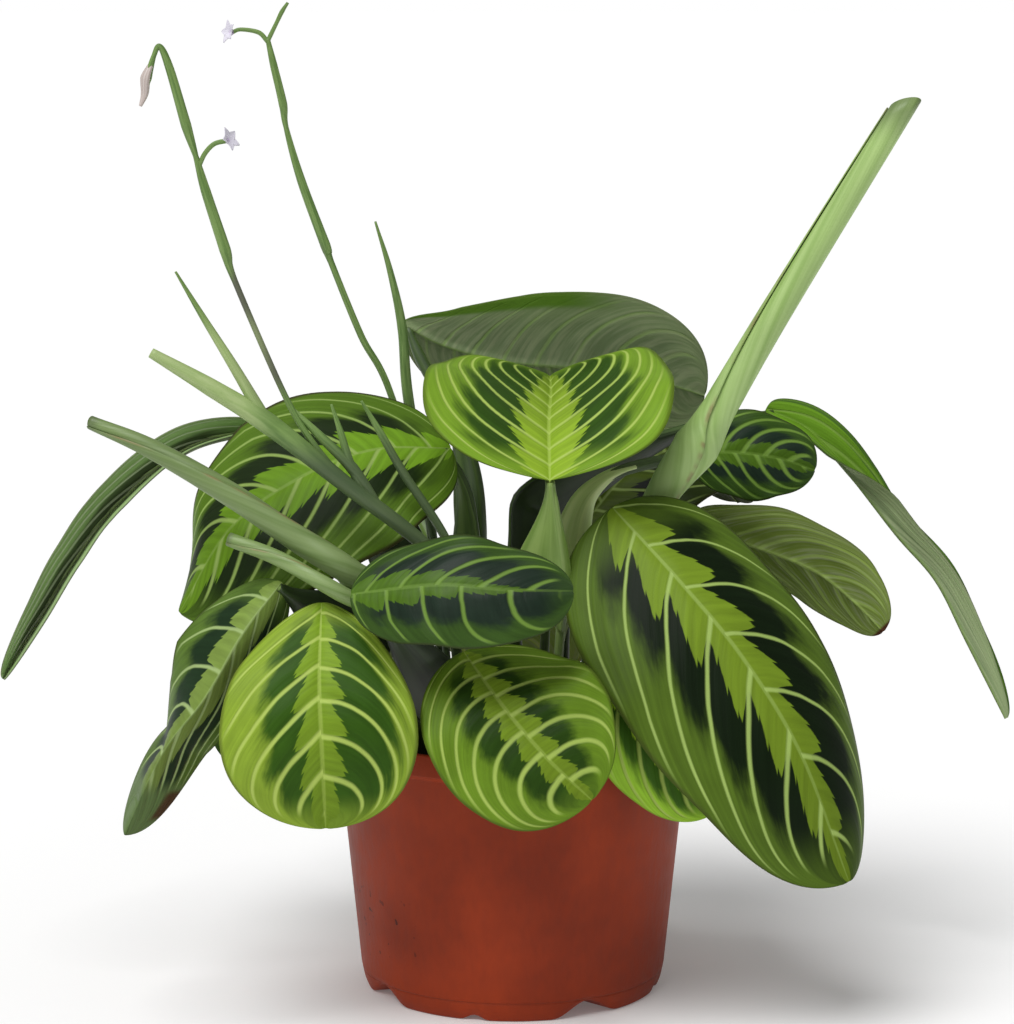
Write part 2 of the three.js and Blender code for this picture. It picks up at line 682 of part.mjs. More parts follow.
// A stem and the hole that it needs in the soil: the same rings, wider by the gap.
function stemAndHole(sections, radii, sides, shape = () => 1) {
  const rings = (grow, list) =>
    list.map((section, k) => ringAt(section, (angle) => (radii[k] + grow) * shape(angle, k), sides));
  const top = sections.findIndex(({ point }) => point.z > SOIL_LEVEL + HOLE_ABOVE_SOIL);
  const buried = sections.slice(0, top + 1);
  const bottom = { ...buried[0], point: buried[0].point.clone().addScaledVector(buried[0].tangent, -GAP) };
  return {
    stem: sweepRings(rings(0, sections)),
    hole: sweepRings(rings(GAP, [bottom, ...buried.slice(1)])),
  };
}

function makeLeaf(leaf) {
  const ribCurve = curveThrough(leaf.rib.map(vector));
  const blade = makeBlade(leaf, ribCurve);
  const stalkCurve = curveThrough([
    rootBottom(leaf.root),
    rootTop(leaf.root),
    ...leaf.stalk.map(vector),
    vector(leaf.rib[0]),
    ribCurve.getPointAt(STALK_INTO_BLADE),
  ]);
  const shares = evenShares(STALK_STEPS);
  const { stem, hole } = stemAndHole(sectionsAlong(stalkCurve, shares), shares.map(stalkRadius), STALK_SIDES);
  return { name: leaf.name, colour: leaf.colour, solid: blade.add(stem), hole };
}

// A path of [x, y, z, radius] as sections and radii, with each stretch between two points split into parts.
function pathSections(path, parts) {
  const curve = curveThrough(path.map(vector));
  const steps = evenShares(parts * (path.length - 1));
  const lengths = curve.getLengths(LENGTH_STEPS);
  const shares = steps.map((t) => lengths[Math.round(t * LENGTH_STEPS)] / lengths[LENGTH_STEPS]);
  return { sections: sectionsAlong(curve, shares), radii: steps.map((t) => mixAt(path, t)[3]) };
}

const rootedPath = (root, path) => [
  [...root, SOIL_LEVEL - ROOT_DEPTH, path[0][3]],
  [...root, SOIL_LEVEL + UPRIGHT_ABOVE_SOIL, path[0][3]],
  ...path,
];

function makeRolled(rolled) {
  const { sections, radii } = pathSections(rootedPath(rolled.root, rolled.path), ROLLED_PARTS);
  const last = sections.length - 1;
  const spiral = (angle, k) => {
    const share = Math.max(0, (k - ROLL_START) / (last - ROLL_START));
    const turned = (angle + degToRad(ROLL_TURN) * share) % (2 * Math.PI);
    return 1 + (ROLL_OVERLAP * turned * Math.min(1, share / ROLL_GROWN_BY)) / (2 * Math.PI);
  };
  const { hole } = stemAndHole(sections, radii, ROLLED_SIDES, spiral);
  const ringOf = (section, k) => ringAt(section, (angle) => radii[k] * spiral(angle, k), ROLLED_SIDES);
  const rings = sections.map(ringOf);
  const tip = sections[last];
  rings[last].forEach((point, i) => {
    const angle = (2 * Math.PI * i) / ROLLED_SIDES;
    point.addScaledVector(tip.tangent, rolled.slant * radii[last] * Math.cos(angle));
  });
  return { name: rolled.name, colour: "stalk", solid: sweepRings(rings), hole };
}

// A small flower: petals round its centre, each a flat diamond sunk into the stem's end.
function makeBloom({ at, look }) {
  const turn = new THREE.Quaternion().setFromUnitVectors(vector([0, 0, 1]), vector(look).normalize());
  const petals = evenShares(PETALS).slice(1).map((share) => {
    const petal = new THREE.OctahedronGeometry(1)
      .scale(PETAL_HALF_WIDTH, PETAL_HALF_THICKNESS, PETAL_LENGTH / 2)
      .translate(0, 0, PETAL_LENGTH / 2 - PETAL_SINK)
      .rotateX(degToRad(PETAL_SPREAD))
      .rotateZ(2 * Math.PI * share)
      .applyQuaternion(turn)
      .translate(...at);
    return solidOfGeometry(petal);
  });
  return wasm.Manifold.union(petals);
}

function makeShoot(shoot) {
  const made = shoot.stems.map(({ root, path }) => {
    const { sections, radii } = pathSections(root ? rootedPath(root, path) : path, SHOOT_PARTS);
    if (root) return stemAndHole(sections, radii, SHOOT_SIDES);
    const rings = sections.map((section, k) => ringAt(section, () => radii[k], SHOOT_SIDES));
    return { stem: sweepRings(rings) };
  });
  const solid = wasm.Manifold.union([...made.map(({ stem }) => stem), ...shoot.blooms.map(makeBloom)]);
  return { name: shoot.name, colour: "flowerStalk", solid, hole: made[0].hole };
}

function meshOf(name, solid, colour, roughness) {
  const { vertProperties, triVerts } = solid.getMesh();
  const geometry = new THREE.BufferGeometry();
  geometry.setAttribute("position", new THREE.BufferAttribute(new Float32Array(vertProperties), 3));
  geometry.setIndex(new THREE.BufferAttribute(new Uint32Array(triVerts), 1));
  geometry.computeVertexNormals();
  const material = new THREE.MeshStandardMaterial({ color: colour, roughness, metalness: 0 });
  const mesh = new THREE.Mesh(geometry, material);
  mesh.name = name;
  return mesh;
}

const grown = [...LEAVES.map(makeLeaf), ...ROLLED.map(makeRolled), ...SHOOTS.map(makeShoot)];
const plant = new THREE.Group();
plant.add(...grown.map(({ name, colour, solid }) => meshOf(name, solid, COLOURS[colour], ROUGHNESS.plant)));

const group = new THREE.Group();
group.add(meshOf("pot", makePot(), COLOURS.pot, ROUGHNESS.pot));
group.add(meshOf("soil", makeSoil(grown.map(({ hole }) => hole)), COLOURS.soil, ROUGHNESS.soil));
group.add(plant);

export default group;
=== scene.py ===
import json
import math

import bpy
import numpy as np
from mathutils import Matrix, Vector


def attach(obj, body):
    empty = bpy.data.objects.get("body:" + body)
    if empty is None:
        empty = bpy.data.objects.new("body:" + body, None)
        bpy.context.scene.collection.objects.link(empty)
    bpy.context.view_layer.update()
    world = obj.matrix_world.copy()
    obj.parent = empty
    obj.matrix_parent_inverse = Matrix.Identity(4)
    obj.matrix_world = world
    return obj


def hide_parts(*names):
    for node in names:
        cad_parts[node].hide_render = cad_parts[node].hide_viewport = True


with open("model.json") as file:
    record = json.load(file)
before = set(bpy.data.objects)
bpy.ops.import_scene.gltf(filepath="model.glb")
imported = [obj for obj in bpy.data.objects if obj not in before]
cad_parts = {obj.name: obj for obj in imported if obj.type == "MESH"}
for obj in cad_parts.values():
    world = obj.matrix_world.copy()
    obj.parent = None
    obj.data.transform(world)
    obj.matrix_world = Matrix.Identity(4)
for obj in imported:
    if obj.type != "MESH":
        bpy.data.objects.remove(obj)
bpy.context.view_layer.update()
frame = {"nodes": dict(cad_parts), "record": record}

# A prayer plant (Maranta) in a plastic nursery pot: fine surfaces and finishes for each of its solids.
# Shapes are worked out in millimetres in the frame's axes, and become metres when a mesh is made.
MM = 0.001


# Camera, at the photograph's angle
CAMERA_DISTANCE = 1200
CAMERA_ELEVATION = math.radians(9)
CAMERA_AIM = (-2, 0, 164)
LENS_MM = 124.2
SENSOR_MM = 36


def add_object(name, data):
    made = bpy.data.objects.new(name, data)
    bpy.context.scene.collection.objects.link(made)
    return made


def make_camera():
    data = bpy.data.cameras.new("camera")
    data.lens = LENS_MM
    data.sensor_width = SENSOR_MM
    camera = add_object("camera", data)
    back = Vector((0, -math.cos(CAMERA_ELEVATION), math.sin(CAMERA_ELEVATION)))
    camera.location = (Vector(CAMERA_AIM) + back * CAMERA_DISTANCE) * MM
    camera.rotation_euler = (-back).to_track_quat("-Z", "Y").to_euler()
    bpy.context.scene.camera = camera


make_camera()


# Small helpers on arrays of points
def unit(vectors):
    return vectors / np.maximum(np.linalg.norm(vectors, axis=-1, keepdims=True), 1e-9)


def steps_between(points):
    return np.linalg.norm(np.diff(points, axis=0), axis=1)


def stacked(*arrays):
    """Arrays that spread over one grid, as the coordinates of each of its points."""
    return np.stack(np.broadcast_arrays(*arrays), -1)


def mix_rows(rows, shares):
    """Rows of numbers, mixed at shares of the way along them."""
    rows = np.array(rows, float)
    places = np.linspace(0, 1, len(rows))
    return stacked(*(np.interp(shares, places, column) for column in rows.T))


def smooth(low, high, value):
    share = np.clip((value - low) / (high - low), 0, 1)
    return share * share * (3 - 2 * share)


class Curve:
    """The smooth line through points, which the solids follow too."""

    STEPS = 600

    def __init__(self, points):
        points = np.array(points, float)
        before, after = 2 * points[0] - points[1], 2 * points[-1] - points[-2]
        self.knots = np.vstack([before, points, after])
        self.spans = len(points) - 1
        self.times = np.linspace(0, self.spans, self.STEPS + 1)
        self.lengths = np.append(0, np.cumsum(steps_between(self.at_time(self.times))))
        self.length = self.lengths[-1]

    def _pieces(self, times):
        span = np.minimum(np.asarray(times).astype(int), self.spans - 1)
        a, b, c, d = (self.knots[span + i] for i in range(4))
        return (times - span)[:, None], (b, (c - a) / 2, (2 * a - 5 * b + 4 * c - d) / 2,
                                         (3 * b - a - 3 * c + d) / 2)

    def at_time(self, times):
        share, (p, q, r, s) = self._pieces(times)
        return p + share * (q + share * (r + share * s))

    def tangent_at_time(self, times):
        share, (_, q, r, s) = self._pieces(times)
        return unit(q + share * (2 * r + share * 3 * s))

    def _time(self, shares):
        return np.interp(np.asarray(shares) * self.length, self.lengths, self.times)

    def at(self, shares):
        return self.at_time(self._time(shares))

    def tangent(self, shares):
        return self.tangent_at_time(self._time(shares))


def carried_sides(tangents):
    """A direction across each tangent, carried along without turning about it."""
    side = np.array([0.0, 1, 0]) if abs(tangents[0][1]) < 0.9 else np.array([1.0, 0, 0])
    sides = []
    for tangent in tangents:
        side = unit(side - side.dot(tangent) * tangent)
        sides.append(side)
    return np.array(sides)


def grid_faces(rows, columns, start=0, wrap=False, flip=False):
    """Quads of a grid of points, joined round its columns if wrap is set."""
    faces = []
    for k in range(rows - 1):
        for i in range(columns if wrap else columns - 1):
            j = (i + 1) % columns
            quad = (start + k * columns + i, start + k * columns + j,
                    start + (k + 1) * columns + j, start + (k + 1) * columns + i)
            faces.append(quad[::-1] if flip else quad)
    return faces


class Body:
    """Points in millimetres, faces, and at each point three pattern coordinates for its material."""

    def __init__(self):
        self.points, self.faces, self.slots, self.patterns = [], [], [], []
        self.count = 0

    def add(self, points, faces, pattern, slot=0):
        points = np.asarray(points, float).reshape(-1, 3)
        self.points.append(points)
        self.patterns.append(np.broadcast_to(np.asarray(pattern, float), points.shape))
        self.faces += [tuple(self.count + i for i in face) for face in faces]
        self.slots += [slot] * len(faces)
        self.count += len(points)

    def add_sheet(self, upper, lower, pattern_upper, pattern_lower, slot=0):
        """A thin closed sheet from two grids of points, the upper one on the side that the faces look."""
        rows, columns = upper.shape[:2]
        count = rows * columns
        rim = list(range(columns - 1))
        rim += [k * columns + columns - 1 for k in range(rows - 1)]
        rim += [(rows - 1) * columns + i for i in range(columns - 1, 0, -1)]
        rim += [k * columns for k in range(rows - 1, 0, -1)]
        edge = [(b, a, a + count, b + count) for a, b in zip(rim, rim[1:] + rim[:1])]
        faces = grid_faces(rows, columns) + grid_faces(rows, columns, count, flip=True) + edge
        points = np.concatenate([upper.reshape(-1, 3), lower.reshape(-1, 3)])
        patterns = np.concatenate([pattern_upper.reshape(-1, 3), pattern_lower.reshape(-1, 3)])
        self.add(points, faces, patterns, slot)

    def add_tube(self, rings, length, slot=0):
        """A tube through rings of points, closed by a fan at each end.

        Its pattern is the share of its length, the share of the way round, and millimetres along.
        """
        rows, sides = rings.shape[:2]
        share = np.linspace(0, 1, rows)[:, None]
        pattern = stacked(share, np.linspace(0, 1, sides, endpoint=False), share * length)
        count = rows * sides
        faces = grid_faces(rows, sides, wrap=True)
        for start, middle, turned in ((0, count, True), (count - sides, count + 1, False)):
            for i in range(sides):
                a, b = start + i, start + (i + 1) % sides
                faces.append((b, a, middle) if turned else (a, b, middle))
        ends = [rings[0].mean(0), rings[-1].mean(0)]
        end_patterns = [pattern[0, 0], pattern[-1, 0]]
        self.add(np.concatenate([rings.reshape(-1, 3), ends]), faces,
                 np.concatenate([pattern.reshape(-1, 3), end_patterns]), slot)

    def make(self, name, materials, slot, *nodes):
        """The piece: it rides on the part's one body and stands for its CAD nodes."""
        mesh = bpy.data.meshes.new(name)
        mesh.from_pydata((np.concatenate(self.points) * MM).tolist(), [], self.faces)
        for material in materials:
            mesh.materials.append(material)
        mesh.polygons.foreach_set("material_index", self.slots)
        mesh.polygons.foreach_set("use_smooth", [True] * len(self.faces))
        pattern = mesh.attributes.new("pattern", "FLOAT_VECTOR", "POINT")
        pattern.data.foreach_set("vector", np.concatenate(self.patterns).astype(np.float32).ravel())
        mesh.update()
        piece = add_object(name, mesh)
        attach(piece, "root")
        if nodes:
            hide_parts(*nodes)
        return piece


# Materials are written as formulas of Values, each of which is one output of a node
def linear(red, green, blue):
    """A colour given as it looks on screen, 0 to 255, as the numbers that shaders take."""
    channels = [c / 255 for c in (red, green, blue)]
    return tuple(c / 12.92 if c <= 0.04045 else ((c + 0.055) / 1.055) ** 2.4 for c in channels) + (1.0,)


# Where a mixing node keeps its two colours and their mix
FIRST_COLOUR, SECOND_COLOUR, MIXED_COLOUR = 6, 7, 2


def plug(tree, value, socket):
    if isinstance(value, Value):
        tree.links.new(value.socket, socket)
    else:
        socket.default_value = value


def add_node(tree, kind, inputs, output=0, **settings):
    """One output of a new node, whose named inputs get a Value, number or colour each."""
    node = tree.nodes.new(f"ShaderNode{kind}")
    for name, setting in settings.items():
        setattr(node, name, setting)
    for socket, value in inputs.items():
        plug(tree, value, node.inputs[socket])
    return Value(tree, node.outputs[output])


class Value:
    def __init__(self, tree, socket):
        self.tree, self.socket = tree, socket

    def math(self, operation, *others):
        return add_node(self.tree, "Math", dict(enumerate((self, *others))), operation=operation)

    def __add__(self, other):
        return self.math("ADD", other)

    def __mul__(self, other):
        return self.math("MULTIPLY", other)

    def __sub__(self, other):
        return self.math("SUBTRACT", other)

    def __rsub__(self, other):
        return self.math("MULTIPLY_ADD", -1, other)

    def __pow__(self, other):
        return self.math("POWER", other)

    def __abs__(self):
        return self.math("ABSOLUTE")

    __radd__ = __add__
    __rmul__ = __mul__

    def fraction(self):
        return self.math("FRACT")

    def rise(self, low, high):
        """0 up to low, 1 from high, and smooth between them."""
        inputs = {"Value": self, "From Min": low, "From Max": high}
        return add_node(self.tree, "MapRange", inputs, "Result", interpolation_type="SMOOTHSTEP")

    def fall(self, low, high):
        return 1 - self.rise(low, high)


class Finish:
    """A Principled material that is built up from Values and colours."""

    def __init__(self, name, **constants):
        self.material = bpy.data.materials.new(name)
        self.material.use_nodes = True
        self.tree = self.material.node_tree
        self.principled = self.tree.nodes["Principled BSDF"]
        for socket, number in constants.items():
            self.principled.inputs[socket.replace("_", " ")].default_value = number

    def split(self, kind, output, **settings):
        """The three coordinates that a new node gives."""
        vector = add_node(self.tree, kind, {}, output, **settings)
        parts = self.tree.nodes.new("ShaderNodeSeparateXYZ")
        plug(self.tree, vector, parts.inputs[0])
        return [Value(self.tree, out) for out in parts.outputs]

    def pattern(self):
        """The three pattern coordinates of the piece's points."""
        return self.split("Attribute", "Vector", attribute_name="pattern")

    def place(self):
        """Where a point is, in metres from the frame's origin."""
        return self.split("TexCoord", "Object")

    def noise(self, x, y, z=0.0, detail=2.0, scale=1.0):
        """Noise from 0 to 1 at a point of pattern space."""
        point = add_node(self.tree, "CombineXYZ", {0: x, 1: y, 2: z})
        return add_node(self.tree, "TexNoise", {"Vector": point, "Scale": scale, "Detail": detail})

    def mix(self, share, first, second):
        """The first colour where share is 0, and the second where it is 1."""
        inputs = {"Factor": share, FIRST_COLOUR: first, SECOND_COLOUR: second}
        return add_node(self.tree, "Mix", inputs, MIXED_COLOUR, data_type="RGBA")

    def shade(self, colour, brightness):
        """A colour made lighter or darker by a Value near 1."""
        return add_node(self.tree, "HueSaturation", {"Value": brightness, "Color": colour})

    def finish(self, colour, roughness=None, height=None, depth=0.3):
        """Sets the colour, the roughness, and a relief of up to depth millimetres."""
        inputs = {"Base Color": colour}
        if roughness is not None:
            inputs["Roughness"] = roughness
        if height is not None:
            inputs["Normal"] = add_node(self.tree, "Bump", {"Distance": depth * MM, "Height": height})
        for socket, value in inputs.items():
            plug(self.tree, value, self.principled.inputs[socket])
        return self.material


# Leaves: the same named values as the solids, and how each one is marked
SOIL_LEVEL = 82
ROOT_DEPTH = 14
UPRIGHT_ABOVE_SOIL = 3
WIDEST = 0.47
OUTLINE_POWER = 0.45
END_HALF_WIDTH = 0.9
WAVES = 2.5
STALK_INTO_BLADE = 0.02
STALK_UNDER_BLADE = 0.4

# Colours of each kind of leaf as they look on screen: margin, blotch between the veins, band along the
# midrib, veins, underside
TONE_PARTS = "margin", "blotch", "band", "vein", "under"
TONES = {
    "lime": [(140, 168, 54), (52, 86, 20), (126, 158, 42), (180, 202, 100), (112, 134, 64)],
    "mid": [(110, 144, 38), (44, 72, 18), (128, 158, 42), (172, 196, 96), (100, 124, 56)],
    "deep": [(86, 112, 34), (16, 30, 10), (122, 150, 40), (166, 192, 104), (98, 116, 48)],
    "pale": [(98, 128, 52), (36, 58, 34), (136, 162, 76), (170, 194, 126), (96, 116, 78)],
    "dusk": [(68, 94, 24), (22, 34, 12), (90, 124, 28), (148, 174, 92), (96, 112, 66)],
    "blue": [(62, 92, 32), (32, 50, 36), (84, 120, 28), (120, 154, 64), (98, 112, 78)],
    "stripe": [(98, 118, 76), (54, 64, 42), (150, 162, 124), (198, 208, 178), (92, 106, 80)],
}
EDGE_COLOUR = linear(58, 50, 32)
UNDER_GREY = linear(112, 118, 92)
BROWN = linear(74, 44, 28)


def pair(value):
    return value if isinstance(value, tuple) else (value, value)


class Leaf:
    """A blade on its stalk.

    A pair of values is for the halves with v below 0 and above 0, but in shade for the underside and the
    upper side. shade is a brightness, partly the leaf's own tone and partly painted light and shade: it is
    raised where a leaf turns away from the light and lowered where it lies in shadow. sheath is its start
    and end along the stalk, its widths at the left and right, and its tone.
    """

    def __init__(self, name, root, stalk, rib, face, halves, fold, bend, widest=WIDEST, wave=1,
                 tone="dusk", veins=6.6, climb=0.25, curl=0.25, starts=(0, 0.4), band=(0.36, 0.24),
                 notch=0.55, blotch=0.7, sheen=0.08, shade=1.0, stalk_tone="green", marks=(), sheath=None):
        self.name, self.root, self.stalk = name, root, stalk
        self.rib, self.face, self.halves = Curve(rib), face, np.array(pair(halves), float)
        self.fold, self.bend = [pair(row) for row in fold], [pair(row) for row in bend]
        self.widest, self.wave, self.veins = widest, wave, veins
        self.climb, self.curl, self.starts = pair(climb), pair(curl), pair(starts)
        self.tone = {part: linear(*colour) for part, colour in zip(TONE_PARTS, TONES[tone])}
        self.band, self.notch, self.sheen = band, notch, sheen
        self.blotch, self.shade = pair(blotch), pair(shade)
        self.stalk_tone, self.marks, self.sheath = stalk_tone, marks, sheath

    def outline(self, u):
        s = u ** (math.log(0.5) / math.log(self.widest))
        return np.maximum(0, 4 * s * (1 - s)) ** OUTLINE_POWER

    def half_width(self, u, v):
        return np.maximum(END_HALF_WIDTH, self.outline(u)[:, None] * self.halves[(v >= 0).astype(int)])

    def upward(self, u):
        """The way the blade's upper face looks at its midrib."""
        tangent, face = self.rib.tangent(u), mix_rows(self.face, u)
        return unit(face - (face * tangent).sum(-1, keepdims=True) * tangent)

    def surface(self, u, v):
        """Points of the blade's middle surface, for each u from base to tip and v from edge to edge."""
        which, reach, up = (v >= 0).astype(int), np.abs(v), self.upward(u)
        side = np.cross(self.rib.tangent(u), up)
        half = self.half_width(u, v)
        fold = np.radians(mix_rows(self.fold, u))[:, which]
        bend = np.radians(mix_rows(self.bend, u))[:, which]
        bend = np.where(bend == 0, 1e-4, bend)
        out = half / bend * (np.sin(fold + bend * reach) - np.sin(fold)) * np.sign(v)
        lift = half / bend * (np.cos(fold) - np.cos(fold + bend * reach))
        phase = 2 * np.pi * (WAVES * u[:, None] + which / 3)
        lift = lift + self.wave * v * v * self.outline(u)[:, None] * np.sin(phase)
        return self.rib.at(u)[:, None] + side[:, None] * out[..., None] + up[:, None] * lift[..., None]


